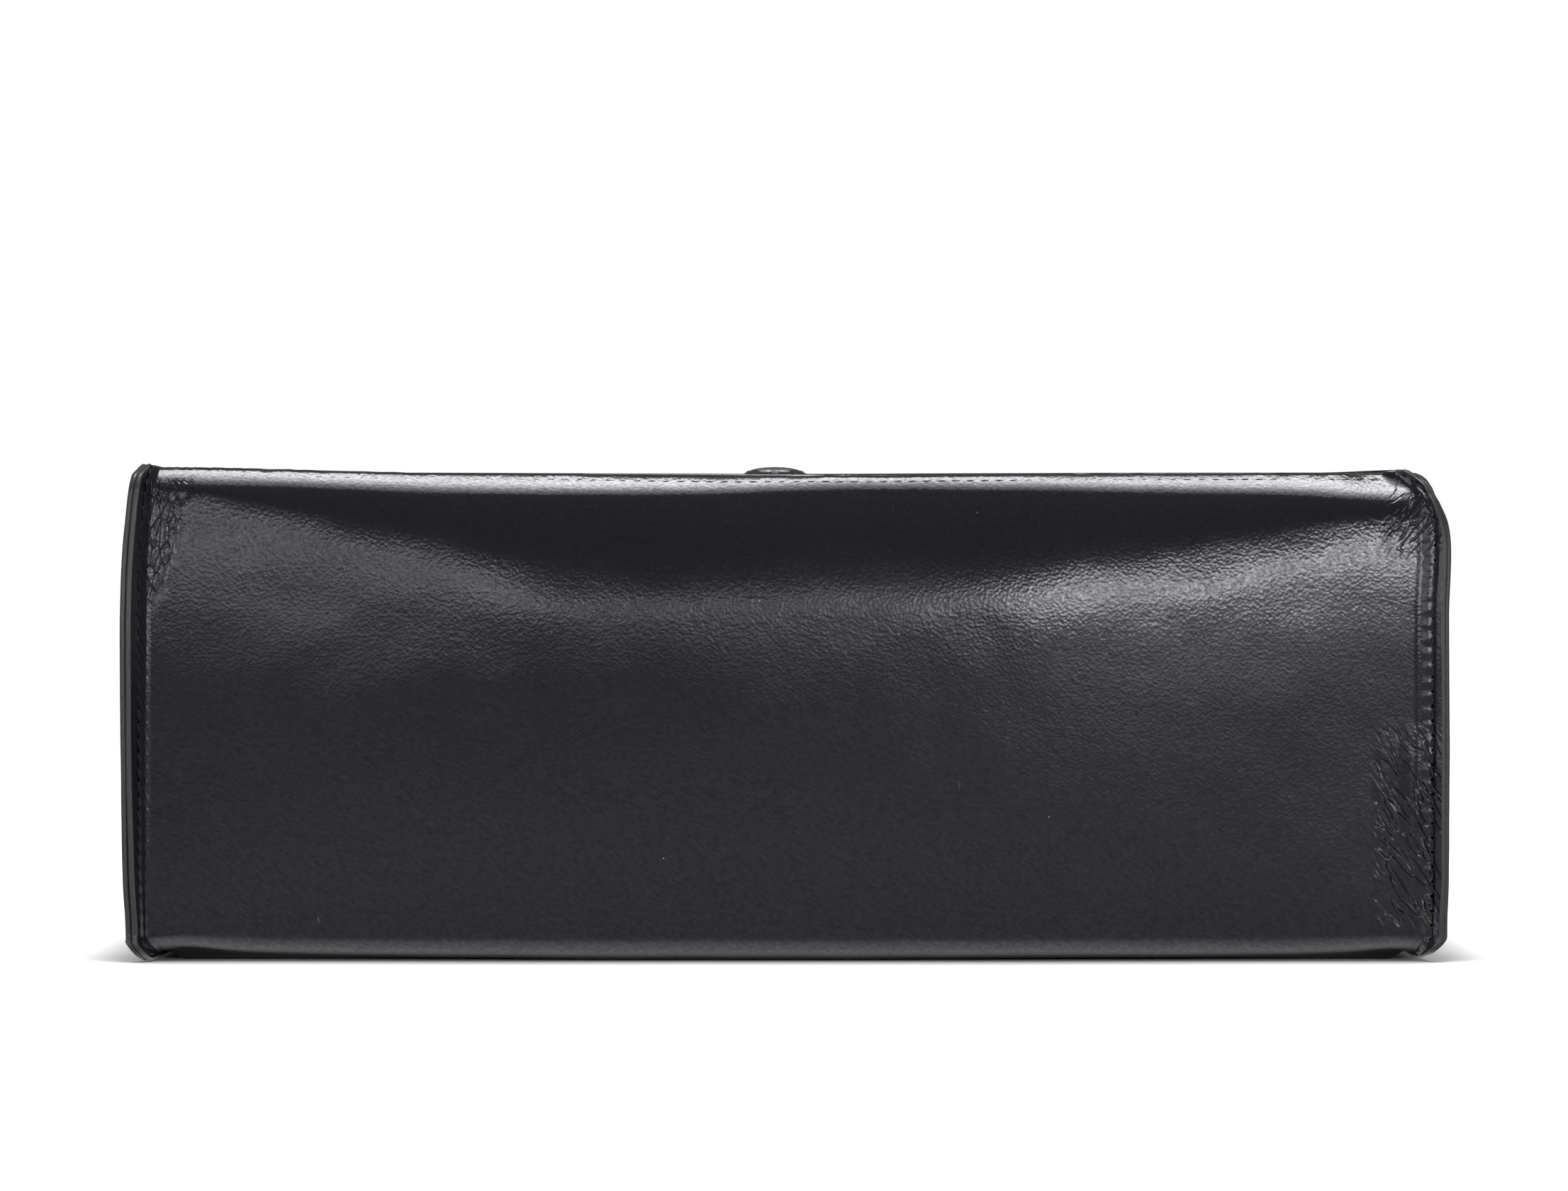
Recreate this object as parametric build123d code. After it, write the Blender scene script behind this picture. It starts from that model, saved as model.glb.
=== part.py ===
from build123d import *
from math import cos, radians, sin, sqrt, tan
import os

# Soft leather hat box: a lined case with turned-out end seams, a lid on a lapped leather
# hinge, a lay-flat carrying handle and a magnetic closing tab.
# Millimetres, +Z up. The hinge wall faces -Y and the closing tab faces +Y.
# The origin is the middle of the footprint, on the face that the box stands on.

# ---------------------------------------------------------------- driving sizes

# Case
body_length = 354.6          # outside, end panel to end panel
body_depth = 318.0           # outside, hinge wall to front wall
case_height = 137.0          # floor to the crest of the rolled hinge edge
base_corner_radius = 12.0    # long lower edges of the wrap
leather = 1.8                # wrap, end panels and lid hide
glue_line = 0.1              # cement between two hides

# Turned-out end seams
seam_lean = 45.0             # degrees, from the wall's outward direction towards the end
seam_margin = 8.0            # inner corner to the cut edge
seam_toe_radius = 14.0       # rounding of the seam where it dies out at the floor
seam_ear_drop = 1.0          # the rear seams stop this far below the hinge edge's crest

# Hinge edge
roll_radius = 8.0            # rear wall rolled over the top edge
lap_past_crest = 1.0         # crest to the wrap's raw edge
lap_tail = 14.0              # lid margin carried down inside the rear wall
roll_end_setback = 1.5       # rolled edge short of the seam's bend
lap_end_setback = 3.0        # lid margin short of the rolled edge's ends

# Stiffeners, lining and rim
layer_gap = 0.2              # between layers that are cemented or sewn together
wall_board = 1.8
base_board_thickness = 2.4
lining = 0.8
board_side_gap = 2.0         # board edges short of the neighbouring wall's layers
rim_step = 1.8               # boards and lining stop this far below the rim
facing_thickness = 1.2
facing_height = 18.0
facing_corner_radius = 5.0
facing_rear_setback = 9.0    # facing ends short of the rear wall

# Lid
lid_board_thickness = 2.4
lid_lining = 0.8
lid_rest_gap = 0.3           # lid lining above the rim
hinge_gap = 0.3              # lid hide clear of its fixed margin
lid_edge_radius = 6.0        # hide folded down over the lid board
lid_corner_radius = 9.0      # plan radius of the lid's front corners
skirt_gap = 0.4              # skirts clear of the walls outside them
front_skirt_drop = 55.0
end_skirt_drop = 30.0
skirt_corner_radius = 11.0
skirt_seam_clearance = 5.0   # skirts stop this far short of the turned-out seams
lid_board_setback = 1.0      # board and lining inside the skirts

# Handle
handle_offset = -3.0         # handle's line from the middle of the lid
grip_length = 90.0
grip_width = 21.0
grip_height = 4.3            # crown above the handle's underside
grip_edge_height = 1.6       # thickness at the grip's long edges
grip_cover = 1.2             # leather over the grip's core
grip_taper = 22.0            # each end's run from full crown to strap thickness
grip_core_setback = 9.0      # core short of the grip's ends
strap_thickness = 1.4
strap_width = 19.0
strap_end_width = 16.0
scarf_angle = 35.0           # degrees from the vertical, where the grip overhangs the strap ends
stud_spacing = 150.0
lift = 26.0                  # grip's rise, hand room under it
strap_draw = 6.0             # each strap end's travel towards the grip
strap_float = 0.2            # strap clear of the lid, the stud and the grip
stud_neck_radius = 2.9
stud_head_radius = 7.2
stud_head_height = 1.2
stud_foot_radius = 8.0
stud_foot_height = 1.0
stud_hole_gap = 0.1          # hide and board clear of the stud
strap_end_margin = 6.0       # slot's outer end to the strap's tip

# Closing tab
tab_width = 40.0
tab_top_drop = 31.1          # lid's top to the tab's top edge
tab_fold_drop = 14.0         # tab's top edge to its fold line
tab_tip_margin = 10.0        # magnet's edge to the tab's tip
tab_thickness = 2.2
tab_tip_radius = 16.0
tab_fold_gap = 0.3
disc_radius = 9.0
magnet_thickness = 1.2
disc_gap = 0.3
disc_clearance = 12.1        # skirt's lower edge to the magnet's edge
rivet_radius = 3.2
rivet_head_height = 1.2
rivet_shank_radius = 1.4
rivet_spacing = 22.0

# ---------------------------------------------------------------- derived sizes

half_length = body_length / 2
half_depth = body_depth / 2
inner_half_length = half_length - leather
inner_half_depth = half_depth - leather

lean = radians(seam_lean)
margin_along = seam_margin * sin(lean)                 # towards the end
margin_out = seam_margin * cos(lean)                   # away from the wall
seam_reach = inner_half_length + margin_along + leather * cos(lean)
seam_depth = inner_half_depth + margin_out + leather * sin(lean)
seam_bend = inner_half_length - leather * tan((radians(90) - lean) / 2)

hinge_y = -half_depth + roll_radius + lap_past_crest
hinge_z = case_height
lid_top = case_height - leather - glue_line
lid_board_top = lid_top - leather
lid_lining_top = lid_board_top - lid_board_thickness
rim_height = lid_lining_top - lid_lining - lid_rest_gap

board_inset = leather + layer_gap
lining_inset = board_inset + wall_board + layer_gap
facing_inset = lining_inset + lining + layer_gap
base_board_top = leather + layer_gap + base_board_thickness
lining_floor = base_board_top + layer_gap
board_foot = base_corner_radius + board_side_gap
layer_top = rim_height - rim_step

lid_half_length = half_length + skirt_gap + leather
lid_front = half_depth + skirt_gap + leather
lid_rear = hinge_y + hinge_gap
lid_middle = (lid_front + lid_rear) / 2

strap_bottom = lid_top + strap_float
strap_top = strap_bottom + strap_thickness
stud_head_bottom = strap_top + strap_float
slot_half_width = stud_neck_radius + strap_float
slot_inner = stud_spacing / 2 - slot_half_width
slot_outer = stud_spacing / 2 + strap_draw + slot_half_width
strap_tip = slot_outer + strap_end_margin
scarf_run = strap_thickness * tan(radians(scarf_angle))

skirt_bottom = lid_top - front_skirt_drop
tab_back = lid_front
tab_front = tab_back + tab_thickness
tab_top = lid_top - tab_top_drop
tab_hinge_height = tab_top - tab_fold_drop
disc_height = skirt_bottom - disc_clearance - disc_radius
tab_tip = disc_height - disc_radius - tab_tip_margin
keeper_thickness = tab_back - magnet_thickness - disc_gap - half_depth

# The case sits so that the whole box is centred on the origin front to back.
front_reach = tab_front + rivet_head_height
centring = (seam_depth - front_reach) / 2


# ---------------------------------------------------------------- helpers

def place(points):
    return make_face(Polyline(*points, close=True))


def block(x0, x1, y0, y1, z0, z1):
    return Pos((x0 + x1) / 2, (y0 + y1) / 2, (z0 + z1) / 2) * Box(x1 - x0, y1 - y0, z1 - z0)


def both_ends(solid):
    return [solid, mirror(solid, about=Plane.YZ)]


def trough(side, floor, half_run, top, radius):
    """Volume of the case's section: flat floor, rounded long lower edges, upright sides."""
    bottom = FilletPolyline((-side, top), (-side, floor), (side, floor), (side, top), radius=radius)
    section = make_face(Plane.YZ * (bottom + Line((side, top), (-side, top))))
    return extrude(section, amount=half_run, both=True)


def seam_run(section):
    """Carry a section of (along, out) points down the rear wall, along the base and up the front."""
    turn_y = half_depth - base_corner_radius
    wall = place([(a, -inner_half_depth - o, base_corner_radius) for a, o in section])
    floor = place([(a, -turn_y, leather - o) for a, o in section])
    upright = extrude(wall, amount=case_height - seam_ear_drop - base_corner_radius, dir=(0, 0, 1))
    turn = revolve(wall, Axis((0, -turn_y, base_corner_radius), (1, 0, 0)), 90)
    base = extrude(floor, amount=turn_y, dir=(0, 1, 0))
    half = upright + turn + base
    run = half + mirror(half, about=Plane.XZ)
    above_rim = block(0, 2 * seam_reach, 0, 2 * seam_depth, rim_height, 2 * case_height)
    return run - above_rim


def seam_limits():
    """Space that the seams may fill: rounded off at the floor, nothing below it."""
    toe = seam_toe_radius
    outline = FilletPolyline((-seam_reach, 2 * case_height), (-seam_reach, 0), (seam_reach, 0),
                             (seam_reach, 2 * case_height), radius=toe)
    lid_line = Line((seam_reach, 2 * case_height), (-seam_reach, 2 * case_height))
    rounded = extrude(make_face(Plane.XZ * (outline + lid_line)), amount=2 * seam_depth, both=True)
    return rounded + block(-half_length, half_length, -half_depth, half_depth, 0, case_height)


def quarter_roll(outer, wall):
    """Section of a hide turned over the rear top edge, from the wall to its crest."""
    centre = (-half_depth + roll_radius, case_height - roll_radius)
    ring = Pos(*centre) * (Circle(outer) - Circle(outer - wall))
    corner = Pos(centre[0] - roll_radius / 2, centre[1] + roll_radius / 2) * Rectangle(roll_radius, roll_radius)
    return ring & corner


# ---------------------------------------------------------------- case: hides

def margin_section(side):
    """Margin of one hide at the seam, as (along, out) points; side 1 is the wrap, -1 the end panel."""
    root = 2 * leather
    gap = glue_line / 2
    tip_in = (inner_half_length + margin_along, margin_out)
    if side > 0:
        across = (-cos(lean), sin(lean))
        start = [(inner_half_length - root, leather), (inner_half_length - root, 0)]
        bend = (seam_bend, leather)
    else:
        across = (cos(lean), -sin(lean))
        start = [(half_length, -root), (inner_half_length, -root)]
        bend = (half_length, -leather * tan(lean / 2))
    offset = (across[0] * gap, across[1] * gap)
    corner = (inner_half_length + offset[0], offset[1])
    tip = (tip_in[0] + offset[0], tip_in[1] + offset[1])
    edge = (tip_in[0] + across[0] * leather, tip_in[1] + across[1] * leather)
    return start + [corner, tip, edge, bend]


def make_body_wrap():
    hide = trough(half_depth, 0, seam_bend, case_height, base_corner_radius)
    hide -= trough(inner_half_depth, leather, half_length, 2 * case_height, base_corner_radius - leather)
    hide -= block(-half_length, half_length, 0, 2 * half_depth, rim_height, 2 * case_height)
    roll_foot = case_height - roll_radius
    hide -= block(-half_length, half_length, -2 * half_depth, 0, roll_foot, 2 * case_height)
    crest = -half_depth + roll_radius
    lip = Pos(crest + lap_past_crest / 2, case_height - leather / 2) * Rectangle(lap_past_crest, leather)
    rolled = Plane.YZ * (quarter_roll(roll_radius, leather) + lip)
    hide += extrude(rolled, amount=seam_bend - roll_end_setback, both=True)
    margin = seam_run(margin_section(1)) & seam_limits()
    for side in both_ends(margin):
        hide += side
    return hide


def make_end_panel():
    plate_edge = 2 * leather
    outline = trough(inner_half_depth - plate_edge, leather + plate_edge, half_length, rim_height,
                     base_corner_radius - leather - plate_edge)
    plate = outline & block(inner_half_length, half_length, -half_depth, half_depth, 0, rim_height)
    margin = seam_run(margin_section(-1)) & seam_limits()
    return plate + margin


def make_lid_margin():
    outer = roll_radius - leather - glue_line
    crest = -half_depth + roll_radius
    flat = Pos(crest + lap_past_crest / 2, lid_top - leather / 2) * Rectangle(lap_past_crest, leather)
    tail_y = -half_depth + leather + glue_line + leather / 2
    tail = Pos(tail_y, case_height - roll_radius - lap_tail / 2) * Rectangle(leather, lap_tail)
    section = Plane.YZ * (quarter_roll(outer, leather) + flat + tail)
    return extrude(section, amount=seam_bend - roll_end_setback - lap_end_setback, both=True)


# ---------------------------------------------------------------- case: boards, lining, rim

def make_wall_boards():
    length = half_length - lining_inset - board_side_gap
    y0 = half_depth - board_inset - wall_board
    y1 = half_depth - board_inset
    front = block(-length, length, y0, y1, board_foot, layer_top)
    rear_top = case_height - roll_radius - lap_tail - layer_gap
    rear = block(-length, length, -y1, -y0, board_foot, rear_top)
    x0 = half_length - board_inset - wall_board
    x1 = half_length - board_inset
    run = trough(half_depth - lining_inset, lining_floor, half_length, layer_top,
                 base_corner_radius - lining_inset)
    end = run & block(x0, x1, -half_depth, half_depth, 0, case_height)
    return front, rear, end


def make_base_board():
    width = half_length - lining_inset - board_side_gap
    depth = half_depth - base_corner_radius
    return block(-width, width, -depth, depth, leather + layer_gap, base_board_top)


def make_case_lining():
    outer_side = half_depth - lining_inset
    outer_end = half_length - lining_inset
    outer_radius = base_corner_radius - lining_inset
    outside = trough(outer_side, lining_floor, outer_end, layer_top, outer_radius)
    inside = trough(outer_side - lining, lining_floor + lining, outer_end - lining, 2 * case_height,
                    outer_radius - lining)
    return outside - inside


def make_rim_facing():
    length = 2 * (half_length - facing_inset)
    depth = 2 * (half_depth - facing_inset)
    outside = RectangleRounded(length, depth, facing_corner_radius)
    inside = RectangleRounded(length - 2 * facing_thickness, depth - 2 * facing_thickness,
                              facing_corner_radius - facing_thickness)
    ring = extrude(Pos(0, 0, rim_height - facing_height) * (outside - inside), amount=facing_height)
    rear = -half_depth + facing_inset + facing_rear_setback
    return ring - block(-length, length, -2 * depth, rear, 0, 2 * case_height)


# ---------------------------------------------------------------- lid

def lid_block(inset, top, bottom, rear):
    """Lid volume with folded-down front and end edges, inset from the lid's outside."""
    length = 2 * (lid_half_length - inset)
    front = lid_front - inset
    solid = block(-length / 2, length / 2, rear, front, bottom, top)
    upright = solid.edges().filter_by(Axis.Z).group_by(Axis.Y)[-1]
    solid = fillet(upright, lid_corner_radius - inset)
    folded = solid.faces().sort_by(Axis.Z)[-1].edges().sort_by(Axis.Y)[1:]
    return fillet(folded, lid_edge_radius - inset)


def skirt_window(length, height, top):
    """Outline of one skirt, seen square on: square at the top and rounded at its lower corners."""
    shape = FilletPolyline((-length / 2, top), (-length / 2, height), (length / 2, height), (length / 2, top),
                           radius=skirt_corner_radius)
    return make_face(shape + Line((length / 2, top), (-length / 2, top)))


def make_lid_hide():
    shell = lid_block(0, lid_top, skirt_bottom - leather, lid_rear)
    shell -= lid_block(leather, lid_board_top, skirt_bottom - 2 * leather, lid_rear - leather)
    above_rim = rim_height + lid_rest_gap
    top_part = block(-2 * half_length, 2 * half_length, -2 * half_depth, 2 * half_depth, above_rim, case_height)
    front_span = 2 * (seam_bend - skirt_seam_clearance)
    front_window = Plane.XZ * skirt_window(front_span, skirt_bottom, case_height)
    front_keep = extrude(front_window, amount=-2 * half_depth)
    seam_start = half_depth - leather * tan(lean / 2) - leather
    end_front = seam_start - skirt_seam_clearance
    end_rear = lid_rear + skirt_seam_clearance
    end_window = skirt_window(end_front - end_rear, lid_top - end_skirt_drop, case_height)
    end_window = Plane.YZ * Pos((end_front + end_rear) / 2, 0) * end_window
    end_keep = extrude(end_window, amount=2 * half_length, both=True)
    return shell & (top_part + front_keep + end_keep)


def make_lid_board():
    inset = leather + lid_board_setback
    slab = lid_block(inset, lid_board_top, lid_lining_top - lid_edge_radius, lid_rear)
    return slab & block(-half_length, half_length, lid_rear, lid_front, lid_lining_top, lid_board_top)


def make_lid_lining():
    length = 2 * (lid_half_length - leather - lid_board_setback)
    front = lid_front - leather - lid_board_setback
    sheet = block(-length / 2, length / 2, lid_rear, front, lid_lining_top - lid_lining, lid_lining_top)
    corners = sheet.edges().filter_by(Axis.Z).group_by(Axis.Y)[-1]
    return fillet(corners, lid_corner_radius - leather - lid_board_setback)


# ---------------------------------------------------------------- handle

def crowned_section(width, edge, crown):
    """Flat underneath, crowned on top, in the plane across the handle."""
    arch = ThreePointArc((-width / 2, edge), (0, crown), (width / 2, edge))
    base = Polyline((width / 2, edge), (width / 2, 0), (-width / 2, 0), (-width / 2, edge))
    return make_face(arch + base)


def grip_profile(half_run, low, high, taper):
    """Side view of the grip: overhanging ends, and a crown that runs down to them."""
    overhang = scarf_run * low / strap_thickness
    return make_face(Polyline((-half_run + overhang, 0), (-half_run, low), (-half_run + taper, high),
                              (half_run - taper, high), (half_run, low), (half_run - overhang, 0),
                              close=True))


def make_grip():
    across = Plane.XZ * crowned_section(grip_width, grip_edge_height, grip_height)
    body = extrude(across, amount=grip_length, both=True)
    side = Plane.YZ * grip_profile(grip_length / 2, strap_thickness, grip_height, grip_taper)
    body &= extrude(side, amount=grip_width, both=True)
    core_run = grip_length / 2 - grip_core_setback
    core_width = grip_width - 4 * grip_cover
    core_height = grip_height - 2 * grip_cover
    core_edge = grip_edge_height / 2
    core_across = Plane.XZ * crowned_section(core_width, core_edge, core_height)
    core = extrude(core_across, amount=grip_length, both=True)
    core_side = grip_profile(core_run, core_edge, core_height, grip_taper - grip_core_setback)
    core &= extrude(Plane.YZ * core_side, amount=grip_width, both=True)
    core = Pos(0, 0, grip_cover) * core
    seat = Pos(handle_offset, lid_middle, strap_bottom)
    return seat * (body - core), seat * core


def make_strap_end():
    """Front end of the handle strap, slotted for its stud and scarfed under the grip."""
    root = grip_length / 2 + strap_float
    straight = stud_spacing / 2 - slot_half_width - strap_end_margin
    tip_radius = strap_end_width / 2
    blank = place([(-strap_width / 2, root - scarf_run), (strap_width / 2, root - scarf_run),
                   (strap_width / 2, root + (straight - root) / 2), (strap_end_width / 2, straight),
                   (strap_end_width / 2, strap_tip), (-strap_end_width / 2, strap_tip),
                   (-strap_end_width / 2, straight), (-strap_width / 2, root + (straight - root) / 2)])
    strap = extrude(blank, amount=strap_thickness)
    corners = strap.edges().filter_by(Axis.Z).group_by(Axis.Y)[-1]
    strap = fillet(corners, tip_radius - strap_float)
    slot_middle = (slot_inner + slot_outer) / 2
    slot = SlotOverall(slot_outer - slot_inner, 2 * slot_half_width, rotation=90)
    strap -= extrude(Pos(0, slot_middle) * slot, amount=strap_thickness)
    scarf = Polyline((root - scarf_run, 0), (root, strap_thickness), (root - 2 * scarf_run, strap_thickness),
                     (root - 2 * scarf_run, 0), close=True)
    strap -= extrude(make_face(Plane.YZ * scarf), amount=strap_width, both=True)
    return Pos(handle_offset, lid_middle, strap_bottom) * strap


def dome(base_radius, height):
    """Low spherical cap standing on z = 0."""
    sphere = (base_radius ** 2 + height ** 2) / (2 * height)
    arc = RadiusArc((base_radius, 0), (0, height), -sphere)
    section = make_face(Plane.XZ * (arc + Polyline((0, height), (0, 0), (base_radius, 0))))
    return revolve(section, Axis.Z)


def rod(radius, z0, z1):
    return Pos(0, 0, (z0 + z1) / 2) * Cylinder(radius, z1 - z0)


def make_stud():
    """Headed stud that holds a strap end down and lets it slide."""
    rim = stud_head_bottom + stud_head_height / 2
    stud = rod(stud_foot_radius, lid_board_top - stud_foot_height, lid_board_top)
    stud += rod(stud_neck_radius, lid_board_top, stud_head_bottom)
    stud += rod(stud_head_radius, stud_head_bottom, rim)
    stud += Pos(0, 0, rim) * dome(stud_head_radius, stud_head_height / 2)
    return stud


def stud_places():
    return [Pos(handle_offset, lid_middle + side * stud_spacing / 2, 0) for side in (-1, 1)]


# ---------------------------------------------------------------- closing tab

def make_tab():
    """Tab in two parts, one riveted to the skirt above the fold and one free below it."""
    height = tab_top - tab_hinge_height
    anchor = Plane.XZ * Pos(0, tab_hinge_height + tab_fold_gap / 2 + height / 2) * Rectangle(tab_width, height)
    anchor = extrude(anchor, amount=-tab_thickness)
    top_corners = anchor.edges().filter_by(Axis.Y).group_by(Axis.Z)[-1]
    anchor = fillet(top_corners, tab_thickness)
    drop = tab_hinge_height - tab_fold_gap / 2 - tab_tip
    flap = Plane.XZ * Pos(0, tab_hinge_height - tab_fold_gap / 2 - drop / 2) * Rectangle(tab_width, drop)
    flap = extrude(flap, amount=-tab_thickness)
    tip_corners = flap.edges().filter_by(Axis.Y).group_by(Axis.Z)[0]
    flap = fillet(tip_corners, tab_tip_radius)
    return Pos(0, tab_back, 0) * anchor, Pos(0, tab_back, 0) * flap


def disc(y0, thickness):
    flat = Plane.XZ * Pos(0, disc_height) * Circle(disc_radius)
    return Pos(0, y0, 0) * extrude(flat, amount=-thickness)


def make_tab_rivet():
    rivet = rod(rivet_shank_radius, -tab_thickness - leather, 0) + dome(rivet_radius, rivet_head_height)
    return Pos(0, tab_front, 0) * Rot(-90, 0, 0) * rivet


def rivet_places():
    height = (tab_top + tab_hinge_height) / 2
    return [Pos(side * rivet_spacing / 2, 0, height) for side in (-1, 1)]


# ---------------------------------------------------------------- assembly

def build():
    parts = {}
    parts["body_wrap"] = make_body_wrap()
    right_panel = make_end_panel()
    parts["right_end_panel"], parts["left_end_panel"] = both_ends(right_panel)
    parts["lid_hinge_margin"] = make_lid_margin()
    front_board, rear_board, end_board = make_wall_boards()
    parts["front_wall_board"] = front_board
    parts["rear_wall_board"] = rear_board
    parts["right_end_board"], parts["left_end_board"] = both_ends(end_board)
    parts["base_board"] = make_base_board()
    parts["case_lining"] = make_case_lining()
    parts["rim_facing"] = make_rim_facing()
    parts["closure_keeper"] = disc(half_depth, keeper_thickness)

    rear_stud, front_stud = [place_at * make_stud() for place_at in stud_places()]
    neck_hole = rod(stud_neck_radius + stud_hole_gap, 0, case_height)
    foot_recess = rod(stud_foot_radius + stud_hole_gap, lid_board_top - stud_foot_height, case_height)
    lid_hide = make_lid_hide()
    lid_board = make_lid_board()
    for place_at in stud_places():
        lid_hide -= place_at * neck_hole
        lid_board -= place_at * foot_recess
    left_rivet, right_rivet = [place_at * make_tab_rivet() for place_at in rivet_places()]
    rivets = left_rivet + right_rivet
    anchor, flap = make_tab()
    lid_hide -= rivets
    anchor -= rivets
    parts["lid_hide"] = lid_hide
    parts["lid_board"] = lid_board
    parts["lid_lining"] = make_lid_lining()
    parts["handle_studs"] = rear_stud + front_stud
    parts["tab_anchor"] = anchor
    parts["tab_rivets"] = rivets

    parts["handle_grip"], parts["handle_core"] = make_grip()
    front_end = make_strap_end()
    parts["handle_front_strap"] = front_end
    parts["handle_rear_strap"] = mirror(front_end, about=Plane.XZ.offset(-lid_middle))

    parts["closing_tab"] = flap
    parts["tab_magnet"] = disc(tab_back - magnet_thickness, magnet_thickness)
    return parts


os.makedirs("parts", exist_ok=True)
for name, solid in build().items():
    export_step(Pos(0, centring, 0) * solid, f"parts/{name}.step")
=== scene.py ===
import math
import random

import bmesh
import bpy
import numpy as np
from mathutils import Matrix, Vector, noise


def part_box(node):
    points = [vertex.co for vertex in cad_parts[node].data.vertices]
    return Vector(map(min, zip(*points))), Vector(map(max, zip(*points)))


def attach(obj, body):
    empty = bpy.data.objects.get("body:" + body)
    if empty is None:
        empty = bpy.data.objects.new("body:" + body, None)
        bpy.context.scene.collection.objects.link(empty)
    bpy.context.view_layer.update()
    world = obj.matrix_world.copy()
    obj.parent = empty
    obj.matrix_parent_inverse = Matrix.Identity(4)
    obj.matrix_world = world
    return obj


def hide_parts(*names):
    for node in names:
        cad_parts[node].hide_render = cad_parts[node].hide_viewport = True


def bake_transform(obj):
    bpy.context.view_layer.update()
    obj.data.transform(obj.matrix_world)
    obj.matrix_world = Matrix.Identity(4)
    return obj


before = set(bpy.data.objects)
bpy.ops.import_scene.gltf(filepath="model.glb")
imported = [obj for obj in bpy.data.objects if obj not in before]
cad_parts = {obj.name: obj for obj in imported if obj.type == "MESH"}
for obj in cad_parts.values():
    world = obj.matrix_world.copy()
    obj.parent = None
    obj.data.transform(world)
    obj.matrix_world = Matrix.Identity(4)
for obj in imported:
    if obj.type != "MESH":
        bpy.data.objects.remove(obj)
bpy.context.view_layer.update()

MM = 0.001                       # shapes are written in millimetres, materials and the stage in metres
rng = random.Random(7)


# ---------------------------------------------------------------- sizes read from the frame

def box_mm(name):
    low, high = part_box(name)
    return np.array(low) / MM, np.array(high) / MM


HIDE = 1.8                       # thickness of the case and lid hides
LAYER = 2.0                      # hide and its cement: outside of a wall to its stiffener
PITCH = 4.0                      # one stitch
BASE_RADIUS = 12.0               # outside of the front wall's bend into the base
REAR = box_mm("rear_wall_board")[0][1] - LAYER
FRONT = box_mm("front_wall_board")[1][1] + LAYER
END = -box_mm("left_end_board")[0][0] + LAYER
TOP = box_mm("body_wrap")[1][2]
RIM = box_mm("rim_facing")[1][2]


# ---------------------------------------------------------------- small tools

def hermite(t, a, b, slope_a, slope_b):
    """Cubic from a to b, with its slopes over the whole step."""
    return ((2 * t**3 - 3 * t**2 + 1) * a + (t**3 - 2 * t**2 + t) * slope_a + (3 * t**2 - 2 * t**3) * b
            + (t**3 - t**2) * slope_b)


def curve(xs, ys):
    """Smooth function through chosen points (cubic Hermite)."""
    xs, ys = np.array(xs, float), np.array(ys, float)
    step = np.diff(ys) / np.diff(xs)
    slope = np.concatenate([[step[0]], (step[1:] + step[:-1]) / 2, [step[-1]]])

    def at(x):
        x = np.clip(np.asarray(x, float), xs[0], xs[-1])
        i = np.clip(np.searchsorted(xs, x, side="right") - 1, 0, len(xs) - 2)
        h = xs[i + 1] - xs[i]
        return hermite((x - xs[i]) / h, ys[i], ys[i + 1], h * slope[i], h * slope[i + 1])
    return at


def smooth(t):
    t = np.clip(t, 0.0, 1.0)
    return t * t * (3 - 2 * t)


def bell(x, width):
    return math.exp(-(x / width) ** 2)


def steps(count):
    """Shares of a way done after each of its steps."""
    return np.linspace(0, 1, count + 1)[1:]


def rounding(r, near):
    """A corner of the radius r, at the distance near from its end: 0 there, r where the straight part starts."""
    return math.sqrt(max(0.0, r * r - max(0.0, r - near) ** 2))


def lengths(path):
    """Distance along a path at each of its points."""
    return np.concatenate([[0], np.cumsum(np.linalg.norm(np.diff(path, axis=0), axis=1))])


def sind(degrees):
    return math.sin(math.radians(degrees))


def cosd(degrees):
    return math.cos(math.radians(degrees))


def wobble(*place):
    """Smooth random value, the same each run."""
    return noise.noise(Vector(place))


def unit(v):
    return v / max(np.linalg.norm(v), 1e-9)


def new_mesh(name, verts, faces, materials):
    mesh = bpy.data.meshes.new(name)
    mesh.from_pydata([tuple(v) for v in np.asarray(verts) * MM], [], [tuple(int(i) for i in f) for f in faces])
    for m in materials:
        mesh.materials.append(m)
    return mesh


def new_object(name, data):
    obj = bpy.data.objects.new(name, data)
    bpy.context.scene.collection.objects.link(obj)
    return obj


def dress(obj, body):
    """Shade the piece smooth, and attach it to the body it rides on, if one is given."""
    obj.data.polygons.foreach_set("use_smooth", [True] * len(obj.data.polygons))
    if body:
        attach(obj, body)
    return obj


def add_mesh(name, verts, faces, body, slot, materials, face_material=None):
    mesh = new_mesh(name, verts, faces, materials)
    mesh.validate()
    if face_material is not None:
        mesh.polygons.foreach_set("material_index", face_material)
    mesh.update()
    return dress(new_object(name, mesh), body)


def grid_normals(P):
    """Unit normals of a grid of points (rows, columns, 3); rows x columns turn outwards."""
    n = np.cross(np.gradient(P, axis=1), np.gradient(P, axis=0))
    return n / np.maximum(np.linalg.norm(n, axis=2, keepdims=True), 1e-9)


RIM_RINGS = 3                    # rows round a cut edge
RIM_ROUND = 0.45                 # how far it stands out, in thicknesses


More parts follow.
